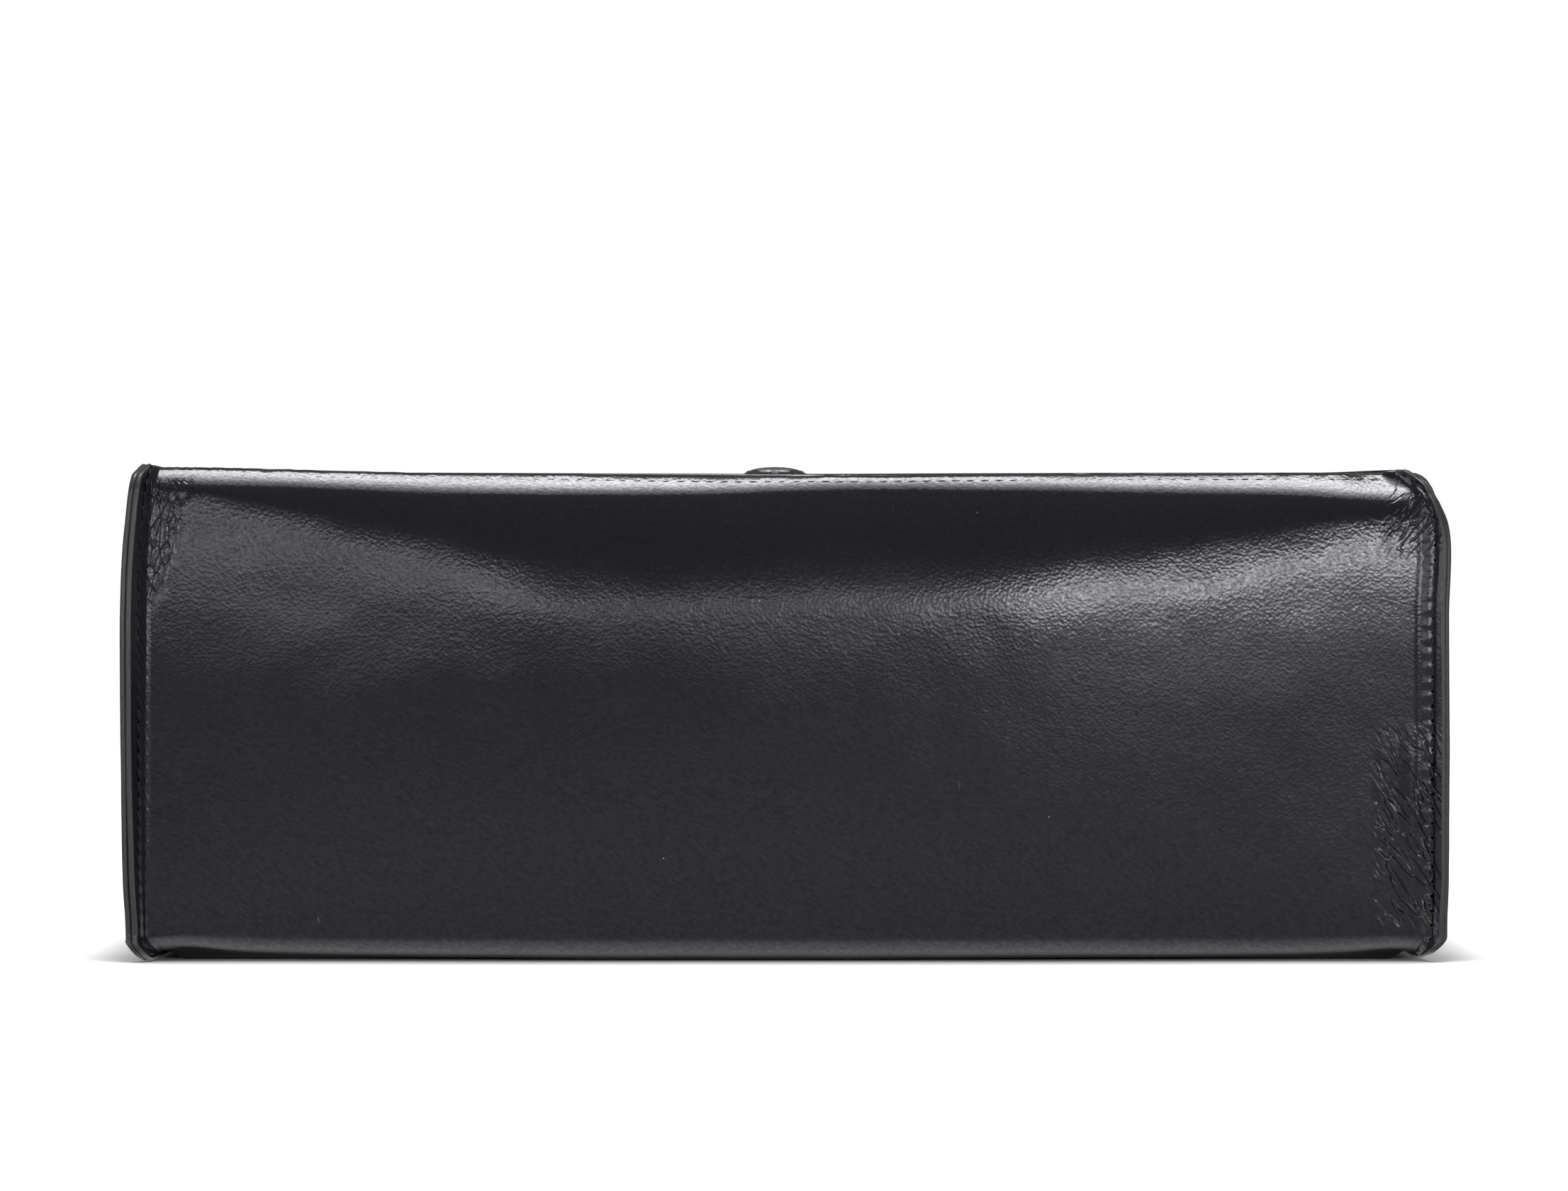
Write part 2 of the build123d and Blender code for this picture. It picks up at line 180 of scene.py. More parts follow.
def hide_mesh(P, normals, flip):
    """A sheet of leather from its grain side: grid, flesh side and rounded cut edges.
    Returns vertices, faces and each face's material (0 grain, 1 cut edge, 2 flesh)."""
    rows, cols, _ = P.shape
    Q = P - normals * HIDE
    verts = np.concatenate([P.reshape(-1, 3), Q.reshape(-1, 3)])
    count = rows * cols
    grain = grid_faces(rows, cols, flip=flip < 0)
    faces = grain + [tuple(i + count for i in f[::-1]) for f in grain]
    mats = [0] * len(grain) + [2] * len(grain)
    loop = ([(0, c) for c in range(cols)] + [(r, cols - 1) for r in range(1, rows)]
            + [(rows - 1, c) for c in range(cols - 2, -1, -1)] + [(r, 0) for r in range(rows - 2, 0, -1)])
    rim, ids = [], []
    for r, c in loop:
        p, q, n = P[r, c], Q[r, c], normals[r, c]
        out = p - P[min(max(r, 1), rows - 2), min(max(c, 1), cols - 2)]
        out = unit(out - n * np.dot(out, n))
        first = 2 * count + len(rim)
        for k in range(1, RIM_RINGS + 1):
            a = math.pi * k / (RIM_RINGS + 1)
            rim.append(p * (1 + math.cos(a)) / 2 + q * (1 - math.cos(a)) / 2 + out * math.sin(a) * HIDE * RIM_ROUND)
        ids.append([r * cols + c, *range(first, first + RIM_RINGS), count + r * cols + c])
    for a, b in zip(ids, ids[1:] + ids[:1]):
        for k in range(RIM_RINGS + 1):
            face = (a[k], a[k + 1], b[k + 1], b[k])
            faces.append(face if flip > 0 else face[::-1])
            mats.append(1)
    return np.concatenate([verts, np.array(rim)]), faces, mats


def sheet(name, verts, faces, thickness, body=None, slot="black_leather", bevel=0.35):
    """Leather or cloth from its outer surface: solid towards its back, with eased cut edges."""
    mesh = new_mesh(name, verts, faces, HIDES if slot == "black_leather" else [CLOTH] * 3)
    bm = bmesh.new()
    bm.from_mesh(mesh)
    bmesh.ops.remove_doubles(bm, verts=bm.verts, dist=0.00002)
    bm.to_mesh(mesh)
    bm.free()
    obj = new_object(name, mesh)
    solid = obj.modifiers.new("solid", "SOLIDIFY")
    solid.thickness = thickness * MM
    solid.offset = -1.0
    solid.material_offset, solid.material_offset_rim = 2, 1
    if bevel:
        soft = obj.modifiers.new("soft", "BEVEL")
        soft.width = bevel * MM
        soft.segments = 2
        soft.limit_method = "ANGLE"
        soft.angle_limit = math.radians(50)
    bpy.context.view_layer.update()
    solid_mesh = bpy.data.meshes.new_from_object(obj.evaluated_get(bpy.context.evaluated_depsgraph_get()))
    obj.modifiers.clear()
    obj.data = solid_mesh
    return dress(obj, body)


def grid_faces(rows, cols, start=0, flip=False):
    faces = []
    for r in range(rows - 1):
        for c in range(cols - 1):
            a = start + r * cols + c
            f = (a, a + 1, a + cols + 1, a + cols)
            faces.append(f[::-1] if flip else f)
    return faces


def tube_faces(first, rings, around):
    """Faces between closed rings of points, with both ends closed."""
    faces = []
    for j in range(rings - 1):
        for k in range(around):
            a, b = first + j * around + k, first + j * around + (k + 1) % around
            faces.append((a, b, b + around, a + around))
    last = first + (rings - 1) * around
    return faces + [tuple(range(first, first + around))[::-1], tuple(range(last, last + around))]


def on_path(path, normals, run, s):
    """Point, normal, direction and side direction at the distance s along a path."""
    p, n, a, b = (np.array([np.interp(at, run, line[:, k]) for k in range(3)]) for at, line in
                  ((s, path), (s, normals), (min(s + 0.5, run[-1]), path), (max(s - 0.5, 0), path)))
    t = unit(a - b)
    n = unit(n - t * np.dot(n, t))
    return p, n, t, np.cross(n, t)


def stitch_line(name, path, normals, body, pitch=PITCH, length=2.7, width=0.75, sink=0.1, skew=9.0, spare=0.0,
                holes=0.0):
    """A row of sewn stitches: slim twisted lenses lying in their holes along a path; each needle hole is a near-black
    dish of painted shade. holes is a needle hole's size.
    """
    path = np.array(path, float)
    normals = np.broadcast_to(np.array(normals, float), path.shape)
    run = lengths(path)
    total = run[-1] - 2 * spare
    count = max(1, int(total / pitch))
    verts, faces = [], []
    for i in range(count + 1 if holes else 0):
        # a needle hole at each end of a stitch: a shallow dish of near-black, matt material, painted shade in the hole
        p, n, t, w = on_path(path, normals, run, spare + i * total / count)
        faces += tube_faces(len(verts), 3, 8)
        size = holes * rng.uniform(0.8, 1.25)
        for reach, high in ((1.0, 0.0), (0.85, 0.10), (0.4, 0.07)):
            for q in np.linspace(0, 2 * math.pi, 9)[:-1]:
                verts.append(p + (t * math.cos(q) * 0.75 + w * math.sin(q)) * size * reach + n * high)
    dark = len(faces)
    for i in range(count):
        p, n, t, w = on_path(path, normals, run, spare + (i + 0.5) * total / count)
        turn = math.radians(skew + rng.uniform(-5, 5))
        t, w = t * math.cos(turn) + w * math.sin(turn), w * math.cos(turn) - t * math.sin(turn)
        faces += tube_faces(len(verts), 7, 6)
        half = length * rng.uniform(0.46, 0.53)
        for u in (-1.0, -0.82, -0.4, 0.0, 0.4, 0.82, 1.0):
            r = width / 2 * max(0.12, math.sqrt(max(0.0, 1 - u * u)) ** 0.8)
            lift = -sink * 2.2 * u * u + (width * 0.22 - sink)
            for q in np.linspace(0, 2 * math.pi, 7)[:-1]:
                verts.append(p + t * half * u + w * r * math.cos(q) + n * (lift + r * 0.62 * math.sin(q)))
    return add_mesh(name, verts, faces, body, "black_leather", [THREAD, HOLE_SHADE], [1] * dark + [0] * (len(faces) - dark))


# ---------------------------------------------------------------- materials

class Val:
    """What a shader node puts out. It can be added, subtracted, multiplied and mapped."""

    def __init__(self, socket):
        self.socket = socket

    def math(self, operation, other=0.0):
        return value(self.socket.id_data, "Math", 0, self, other, operation=operation)

    def __add__(self, other):
        return self.math("ADD", other)

    def __sub__(self, other):
        return self.math("SUBTRACT", other)

    def __mul__(self, other):
        return self.math("MULTIPLY", other)

    def span(self, low, high, to_low=0.0, to_high=1.0, kind="SMOOTHSTEP"):
        return value(self.socket.id_data, "MapRange", "Result", Value=self, From_Min=low, From_Max=high,
                     To_Min=to_low, To_Max=to_high, interpolation_type=kind)


def feed(n, *slots, **values):
    """Fill a node's inputs, in order or by name with _ for a space, and its settings."""
    for k, v in [*enumerate(slots), *values.items()]:
        name = k.replace("_", " ") if k in values else k
        if k in values and name not in n.inputs:
            setattr(n, k, v)
        elif isinstance(v, Val):
            n.id_data.links.new(v.socket, n.inputs[name])
        else:
            n.inputs[name].default_value = v
    return n


def node(tree, kind, *slots, **values):
    return feed(tree.nodes.new("ShaderNode" + kind), *slots, **values)


def value(tree, kind, output, *slots, **values):
    return Val(node(tree, kind, *slots, **values).outputs[output])


def new_material(name, colour, roughness, specular=0.5):
    m = bpy.data.materials.new(name)
    m.use_nodes = True
    b = m.node_tree.nodes["Principled BSDF"]
    feed(b, Base_Color=(*colour, 1), Roughness=roughness, Specular_IOR_Level=specular)
    return m, m.node_tree, b


def bump(tree, height, strength, distance, **under):
    """A bump's normal. under: the Normal that it lies on."""
    return value(tree, "Bump", "Normal", Strength=strength, Distance=distance, Height=height, **under)


def turned(tree, co, turn, size):
    """Coordinates turned about Y by turn degrees, then measured in size (x, y, z)."""
    return value(tree, "Mapping", "Vector", vector_type="TEXTURE", Vector=co, Rotation=(0.0, math.radians(turn), 0.0),
                 Scale=size)


def cracked_cells(tree, co, turn, scale, width):
    """Puffed cells with cracks between them; scale in cells per metre (x, y, z)."""
    cells = value(tree, "TexVoronoi", "Distance", feature="DISTANCE_TO_EDGE", Scale=1.0,
                  Vector=turned(tree, co, turn, [1 / v for v in scale]))
    return cells.span(0.0, width) * 0.75 + cells.span(0.0, 0.5) * 0.25


def ridges(tree, co, turn, scale):
    """Drawn-out wrinkles; scale in wrinkles per metre (x, y, z)."""
    lines = value(tree, "TexNoise", "Fac", Scale=1.0, Detail=1.5, Roughness=0.5,
                  Vector=turned(tree, co, turn, [1 / v for v in scale]))
    return (lines - 0.5).math("ABSOLUTE").span(0.0, 0.07)


def crease_height(tree, co):
    """Height of the pinched, cracked hide at the wall's two upper corners and its lower right corner."""
    shake = value(tree, "TexNoise", "Color", Vector=co, Scale=170.0, Detail=2.0)
    shake = value(tree, "VectorMath", 0, shake, (0.5, 0.5, 0.5), operation="SUBTRACT")
    shake = value(tree, "VectorMath", 0, shake, operation="SCALE", Scale=0.0011)
    bent = value(tree, "VectorMath", 0, co, shake, operation="ADD")
    x, z = (value(tree, "SeparateXYZ", axis, bent) for axis in "XZ")
    # where each kind of crease shows
    left = ((x - z * 0.256).span(-0.1968, -0.2000) * z.span(0.094, 0.108) * x.span(-0.1772, -0.1750)
            * z.span(0.1338, 0.1312))
    upper = x.span(0.1630, 0.1730) * z.span(0.110, 0.118) * z.span(0.132, 0.127, 0.25)
    lower = x.span(0.1610, 0.1665) * z.span(0.068, 0.052) * z.span(0.006, 0.015)
    seam = x.math("ABSOLUTE")
    seam = seam.span(0.1752, 0.1762) * seam.span(0.1790, 0.1774) * z.span(0.133, 0.128)
    big = cracked_cells(tree, bent, 6.0, (560.0, 250.0, 190.0), 0.09)
    small = cracked_cells(tree, bent, 10.0, (1500.0, 600.0, 520.0), 0.12)
    cracks = (big * 0.93 + small * 0.07 - 1.0) * (left * 0.62)
    pinch = ridges(tree, co, 40.0, (480.0, 200.0, 130.0)) * upper
    folds = ridges(tree, co, -32.0, (330.0, 150.0, 75.0)) * lower
    sewn = (z * (2 * math.pi / (PITCH * MM))).math("SINE") * seam
    return cracks + sewn * 0.09 + pinch * 0.35 + folds * 1.1


def leather_material(name, creased=False):
    """Polished smooth hide: fine directional grain, mottled polish, a few scratches and specks of dust."""
    colour, rough, sheen = (0.0064, 0.0059, 0.0089), 0.15, 0.5
    m, t, b = new_material(name, colour, rough, sheen)
    co = value(t, "TexCoord", "Object")
    fine = value(t, "TexNoise", "Fac", Vector=turned(t, co, 33.0, (2.2, 1.0, 1.0)), Scale=1300.0, Detail=3.0,
                 Roughness=0.6)
    pore = value(t, "TexVoronoi", "Distance", Vector=co, Scale=1100.0)
    broad = value(t, "TexNoise", "Fac", Vector=co, Scale=14.0, Detail=4.0, Roughness=0.55)
    wave = value(t, "TexNoise", "Fac", Vector=co, Scale=60.0, Detail=2.0)
    # rare specks of dust and a few faint scratches on the black
    dust = node(t, "TexVoronoi", Vector=co, Scale=150.0)
    pick = value(t, "SeparateColor", 0, Val(dust.outputs["Color"]))
    speck = Val(dust.outputs["Distance"]).span(0.035, 0.015) * pick.span(0.86, 0.88)
    drawn = value(t, "Mapping", "Vector", Vector=co, Rotation=(0.0, math.radians(-12), 0.0),
                  Scale=(700.0, 700.0, 26.0))
    scratch = value(t, "TexNoise", "Fac", Vector=drawn, Scale=1.0, Detail=1.0).span(0.80, 0.84)
    tone = value(t, "Mix", "Result", data_type="RGBA", Factor=(speck * 0.8).math("MAXIMUM", scratch * 0.12),
                 A=(*colour, 1), B=(0.45, 0.45, 0.47, 1))
    # bump: creases, slow unevenness, pores and grain
    under = {"Normal": bump(t, crease_height(t, co), 1.0, 0.00045)} if creased else {}
    normal = bump(t, wave, 0.10, 0.0012, **under)
    normal = bump(t, pore, 0.15, 0.00018, Normal=normal)
    normal = bump(t, fine, 0.125, 0.00020, Normal=normal)
    # the grain's tops shine a little more than its hollows
    feed(b, Specular_Tint=(0.97, 0.96, 1.0, 1.0), Base_Color=tone, Normal=normal,
         Roughness=broad.span(0.3, 0.7, rough - 0.03, rough + 0.05, "LINEAR"),
         Specular_IOR_Level=fine.span(0.35, 0.65, sheen * 0.78, sheen * 1.22, "LINEAR"))
    return m


def metal_material(name, colour, rough):
    """Darkened plated metal: fine turning marks and a worn, uneven polish."""
    m, t, b = new_material(name, colour, rough)
    co = value(t, "TexCoord", "Object")
    lines = value(t, "TexNoise", "Fac", Scale=900.0, Detail=3.0,
                  Vector=value(t, "Mapping", "Vector", Vector=co, Scale=(1.0, 6.0, 6.0)))
    worn = value(t, "TexNoise", "Fac", Vector=co, Scale=220.0, Detail=4.0)
    feed(b, Metallic=1.0, Roughness=worn.span(0.3, 0.7, rough - 0.08, rough + 0.14, "LINEAR"),
         Normal=bump(t, lines, 0.12, 0.0001))
    return m


def mottled_material(name, colour, rough, scale, strength, distance, specular):
    """Matt stuff with an uneven tone and surface of one scale."""
    m, t, b = new_material(name, colour, rough, specular)
    spots = value(t, "TexNoise", "Fac", Vector=value(t, "TexCoord", "Object"), Scale=scale, Detail=4.0, Roughness=0.65)
    ramp = node(t, "ValToRGB", Fac=spots)
    for element, share in zip(ramp.color_ramp.elements, (0.7, 1.35)):
        element.color = (*[min(1, c * share) for c in colour], 1)
    feed(b, Base_Color=Val(ramp.outputs["Color"]), Normal=bump(t, spots, strength, distance))
    return m


LEATHER = leather_material("black_hide")
WRAP_LEATHER = leather_material("black_hide_creased", creased=True)
EDGE = mottled_material("burnished_edge", (0.030, 0.029, 0.030), 0.28, 900.0, 0.5, 0.0003, 0.5)
# needle holes: near-black, matt, unshiny dishes, painted shade where the holes lie in shadow
HOLE_SHADE = mottled_material("needle_hole_shade", (0.002, 0.002, 0.002), 0.9, 2000.0, 0.5, 0.0002, 0.0)
FLESH = mottled_material("flesh_side", (0.02, 0.019, 0.018), 0.85, 1200.0, 0.6, 0.0004, 0.25)
THREAD = mottled_material("waxed_thread", (0.004, 0.004, 0.005), 0.22, 3000.0, 0.8, 0.0003, 0.5)
BOARD = mottled_material("millboard", (0.040, 0.036, 0.032), 0.85, 500.0, 0.4, 0.0003, 0.2)
CLOTH = mottled_material("lining_cloth", (0.060, 0.056, 0.052), 0.9, 900.0, 0.4, 0.0003, 0.2)
METAL = metal_material("dark_metal", (0.25, 0.245, 0.24), 0.28)
HIDES = [LEATHER, EDGE, FLESH]
for names, mat in (
        (("body_wrap", "left_end_panel", "right_end_panel", "lid_hinge_margin", "rim_facing", "lid_hide", "tab_anchor",
          "handle_grip", "handle_front_strap", "handle_rear_strap", "closing_tab"), LEATHER),
        (("front_wall_board", "rear_wall_board", "left_end_board", "right_end_board", "base_board", "lid_board"),
         BOARD),
        (("case_lining", "lid_lining", "handle_core"), CLOTH),
        (("handle_studs", "tab_rivets", "tab_magnet", "closure_keeper"), METAL)):
    for name in names:
        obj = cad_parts[name]
        if not obj.material_slots:
            obj.data.materials.append(mat)
        for material_slot in obj.material_slots:
            material_slot.material = mat


# ---------------------------------------------------------------- shape of the hinge wall

# Heights across the wall: its edge, the roll's lower side, the middle of the dark zone under it, the brightest line,
# the light's foot and the line where the wall is plumb.
KEYS = [-177, -172, -157, -135, -99, -60, -20, 18, 57, 96, 116, 135, 155, 165, 177]
z_edge, z_strip, z_dark, z_peak, z_foot, z_plumb = (curve(KEYS, row) for row in (
    [136.5, 136.5, 136.3, 135.8, 134.9, 134.8, 134.3, 134.4, 134.7, 134.8, 134.9, 135, 135, 135.1, 135.3],
    [133.3, 133.3, 133, 132.5, 130.9, 130.4, 130.7, 132, 131.8, 131.1, 130.8, 130.5, 129.4, 128.8, 128.6],
    [129.5, 129.5, 128, 123.5, 115.5, 105.5, 103.5, 104.5, 107.5, 110, 113.5, 117, 121.5, 122, 122],
    [126, 126, 124.3, 118.8, 108, 98.5, 98, 99.5, 100.5, 102.5, 105, 109.5, 115, 115.5, 115.5],
    [101, 100, 98, 95.5, 96, 92.5, 93, 94, 95, 96, 98, 103, 107, 108, 108],
    [78, 78, 76, 76, 74, 74, 72, 72, 72, 74, 76, 78, 80, 80, 80]))
LOW_Z = 42.0                     # the wall's lower part turns in from here
# how far the wall's lower edge stands off the floor
base_lift = curve([-177, -169, -150, -95, 0, 57, 126, 155, 169.5, 177],
                  [2.6, 3.4, 2.0, 0.8, 0.4, 0.7, 1.0, 1.8, 2.9, 2.7])
EDGE_ANGLE = 78.0                # the hide's lean at its edge and at the knee, in degrees from upright
KNEE_ANGLE = -10.0


def z_knee(x):
    """Where the wall starts to bend into the base."""
    return 0.45 * base_lift(x) + 6.4


def bulge(x):
    """How far the middle of the wall stands out beyond its stiffener's plane."""
    return 0.7 + 4.2 * smooth((172.0 - abs(x)) / 120.0)


def evened(values, width):
    """The values' running mean."""
    return np.convolve(np.pad(values, width // 2, mode="edge"), np.ones(width) / width, "valid")


def rear_profile(x, heights):
    """Distance (y) of the hinge wall's grain side at the given heights, from the edge down to the knee."""
    top, strip = z_edge(x), z_strip(x)
    mid = smooth((172.0 - abs(x)) / 110.0)
    zs = [z_knee(x), 20.0, LOW_Z, z_plumb(x), z_foot(x), z_peak(x), z_dark(x), strip - 2.3, strip - 1.0, strip,
          strip + 1.0, top - 0.45, top - 0.2, top]
    lean = [KNEE_ANGLE, -1.5 - 4.5 * mid, -0.8 - 1.8 * mid, 0.0, 2.6, 4.6, 7.5, 20.0, 33.0, 40.0, 44.0, 49.0, 62.0,
            EDGE_ANGLE]
    fine = np.linspace(zs[0], zs[-1], 2400)
    angle = np.interp(fine, np.array(zs, float), lean)
    angle = evened(angle, 13)
    slope = np.tan(np.radians(angle))
    y = np.concatenate([[0], np.cumsum((slope[1:] + slope[:-1]) / 2 * np.diff(fine))])
    y = y - np.interp(z_plumb(x), fine, y) + REAR - bulge(x)
    return np.interp(heights, fine, y)


# shares of the height between the knee and the edge, top first
ROWS_WALL = 1 - np.concatenate([np.linspace(0, 0.075, 26)[:-1], np.linspace(0.075, 0.34, 44)[:-1],
                                np.linspace(0.34, 1.0, 62)])
BASE_Z = 0.15                    # the base's grain side stands this far off the floor


def section(x, rest_z=BASE_Z):
    """One section of the wrap at x, grain side: (y, z, outward angle) from the raw edge round to the front rim."""
    zk, lift = z_knee(x), base_lift(x)
    heights = zk + (z_edge(x) - zk) * ROWS_WALL
    ys = rear_profile(x, heights)
    out = [(y, z, 0.0) for y, z in zip(ys, heights)]
    radius = (zk - lift) / (1 - sind(-KNEE_ANGLE))
    cy = ys[-1] + radius * cosd(KNEE_ANGLE)
    cz = lift + radius
    for a in -KNEE_ANGLE + (90 + KNEE_ANGLE) * steps(14):
        out.append((cy - radius * cosd(a), cz - radius * sind(a), a))
    r2 = BASE_RADIUS
    fy = FRONT - r2
    for f in steps(30) ** 1.8:
        rest = rest_z + (lift - rest_z) * (1 - smooth((fy - cy) * f / 5.5))
        out.append((cy + (fy - cy) * f, rest, 90.0))
    for a in 90 * steps(12):
        out.append((fy + r2 * sind(a), rest_z + r2 - r2 * cosd(a), 90 + a))
    for f in steps(34):
        out.append((FRONT, rest_z + r2 + (RIM - rest_z - r2) * f, 180.0))
    return np.array(out)


# ---------------------------------------------------------------- seams at the two ends

SEAM_REST = 2.4                  # the base's seams stand this far off the floor, on their own margins
# Each end's seam: the fin's lean at the walls and under the base (degrees), its root's distance from the middle,
# how far it leans back at the top (degrees), how far its root comes in towards the top and round the base, how far
# its margin reaches round the base and swells up the wall, and how its top is cut (how much, from where, over what).
ROUND = [0, 30, 60, 90, 120, 150, 180]
SIDES = {
    -1: dict(lean=26.0, toe_lean=-10.0, root=177.1, tilt=6.0,
             top=curve([95, 109, 121, 131, 137], [0, 0.2, 0.8, 1.8, 3.0]),
             toe=curve(ROUND, [0, 0.1, 1.0, 2.4, 1.0, 0.1, 0]),
             margin=curve([0, 20, 40, 60, 90, 120, 150, 180], [8, 7.6, 6.6, 5.7, 4.6, 5.7, 7.4, 8]),
             swell=curve([0, 15, 30, 50, 85, 105, 125, 137], [-1.4, -1.0, -0.3, 0.4, 1.0, 0.8, 0.2, 0.0]),
             ear=(2.2, 133.5, 3.0)),
    1: dict(lean=53.0, toe_lean=18.0, root=175.3, tilt=4.0,
            top=curve([95, 126.5, 128.5, 131, 136], [0, 0.1, 0.9, 2.7, 6.2]),
            toe=curve(ROUND, [0, 0, 0.2, 0.5, 0.2, 0, 0]),
            margin=curve([0, 20, 40, 60, 90, 120, 150, 180], [8, 7.4, 5.6, 4.0, 2.4, 4.0, 6.5, 8]),
            swell=curve([0, 95, 109, 121, 126, 128.5, 131, 136], [-0.3, -0.4, -0.6, -1.3, -2.6, -2.9, -1.9, -0.3]),
            ear=(4.5, 131.0, 5.5)),
}
ROLL_BACK = 6.0                  # how far the seam's top leans back with the rolled edge


def seam_frames(side):
    """For each row of the wrap: the seam's grain-side point on the wall, outward direction, root and fin directions."""
    s = SIDES[side]
    base = section(side * (s["root"] - 2.0), SEAM_REST)
    n_wall = len(ROWS_WALL)
    y_126 = float(np.interp(126.0, base[:n_wall, 1][::-1], base[:n_wall, 0][::-1]))
    frames = []
    for i, (y, z, a) in enumerate(base):
        if i < n_wall:
            # square to the wall; leaning back at the rolled edge, and down into the knee
            rise = smooth((z - 124) / 12)
            ang = -KNEE_ANGLE * smooth((24.0 - z) / 12.0) - s["tilt"] * rise
            yy = min(y, y_126 + ROLL_BACK * rise)
        else:
            ang, yy, rise = a, y, 0.0
        out = np.array([0.0, -cosd(ang), -sind(ang)])
        turn = max(ang, 0.0)
        lean = s["lean"] + (s["toe_lean"] - s["lean"]) * smooth(abs(sind(turn)))
        root_x = s["root"] - s["toe"](turn)
        reach = s["margin"](turn)
        if i < n_wall:
            root_x -= s["top"](z)
            cut, above, over = s["ear"]
            reach += s["swell"](z) - cut * smooth((z - above) / over)
        frames.append(dict(y=yy, z=z, out=out, lean=math.radians(lean), x=root_x, ang=ang, reach=reach))
    return frames


def fin_axes(side, f):
    """The fin's own directions: out along it, and across it towards the wrap's grain side."""
    along = np.array([float(side), 0, 0])
    c, s = math.cos(f["lean"]), math.sin(f["lean"])
    return f["out"] * c + along * s, f["out"] * s - along * c


def fin_point(side, f, q, layer, off=0.0):
    """Point of the fin: q along it from its root, layer +1 for the wrap's grain side, -1 for the end panel's."""
    root = np.array([side * f["x"], f["y"], f["z"]]) - f["out"] * HIDE
    d, e = fin_axes(side, f)
    return root + d * q + e * layer * (HIDE + off)


def fin_normals(N, frames, side, layer, last_first=False):
    """Across the fin the hide is as thick as elsewhere, so its faces look square out of the fin, also at its top."""
    n, reach = N.shape[1], len(SHARES) + 3
    for i, f in enumerate(frames):
        e = fin_axes(side, f)[1] * layer
        for c in range(reach):
            share = min(1.0, (reach - c) / 4)
            at = n - 1 - c if last_first else c
            N[i, at] = unit(e * share + N[i, at] * (1 - share))
    return N


def margin_length(f):
    """How far the seam's margin reaches from its root: all of it on the walls, down to the floor under the base."""
    root_z = f["z"] - f["out"][2] * HIDE
    fall = -(f["out"][2] * math.cos(f["lean"]))
    length = f["reach"]
    if fall > 0.05:
        length = min(length, (root_z - 0.30 - abs(math.sin(f["lean"])) * HIDE * abs(f["out"][2])) / fall - 0.81)
    return length


SEWN_AT = 4.6                    # stitching line, from the seam's root
SEWN_DIP = 0.45                  # how deep the stitches pull the hide in
BEND = 1.4                       # from the line where fin and wall would meet to the bend's end
SHARES = (1.0, 0.9, 0.8, 0.7, 0.62, 0.54, 0.46, 0.38, 0.28, 0.15, 0.0)
WALL_STEPS = np.concatenate([np.linspace(0, 14, 25), np.linspace(14, 40, 19)[1:], np.linspace(40, 176, 34)[1:]])


def fin_columns(frames, side, layer):
    """A margin's columns of points from its free edge in to its bend, and the line where it would meet the wall."""
    columns, fold = [[] for _ in SHARES], []
    for f in frames:
        lean, length = f["lean"], margin_length(f)
        root = HIDE * ((1 - math.sin(lean)) / math.cos(lean) if layer > 0 else math.tan(lean / 2))
        first = root + 0.3 + (1.0 if layer > 0 else 0.7) * smooth((length - root - 0.6) / 2.5)
        depth = SEWN_DIP * smooth((length - 4.0) / 1.5)
        for column, share in zip(columns, SHARES):
            q = first + (max(length, first + 0.3) - first) * share
            column.append(fin_point(side, f, q, layer, -depth * bell(q - SEWN_AT, 0.8)))
        fold.append(fin_point(side, f, root, layer))
    return [np.array(c) for c in columns], np.array(fold)


def rounded(a, fold, b):
    """Three columns of a bend from a to b, which lies inside the line where the two would meet."""
    return [a * (1 - t) ** 2 + fold * 2 * t * (1 - t) + b * t * t for t in (0.25, 0.5, 0.75)]


def wrap_half(side):
    """The wrap's columns from one end's free edge to the middle: margin, bend and wall."""
    frames, root = FRAMES[side], SIDES[side]["root"]
    fin, fold = fin_columns(frames, side, 1)
    start = fold - np.array([side * BEND, 0, 0])
    # the wall settles into its own shape this far from the seam: short at the roll and under the base
    zs, angs = (np.array([f[key] for f in frames]) for key in ("z", "ang"))
    settle = evened(np.where(angs > 60, 2.4, 9.0 - 7.4 * smooth((zs - 120) / 7)), 7)
    body = []
    for d in WALL_STEPS:
        x = side * (root - 4.2 - d)
        if side * x < 0:
            break
        free = section(x)
        free = np.stack([np.full(len(free), x), free[:, 0], free[:, 1]], axis=1)
        w = smooth(d / settle)[:, None]
        column = free * w + (start - np.array([side * d, 0, 0])) * (1 - w)
        column[:, 0] += (start[:, 0] - side * (root - 2.6)) * (1 - smooth(d / 30.0)) * w[:, 0]
        body.append(column)
    return fin + rounded(fin[-1], fold, start) + body


FRAMES = {side: seam_frames(side) for side in (-1, 1)}
P = np.stack(wrap_half(-1) + wrap_half(1)[::-1], axis=1)


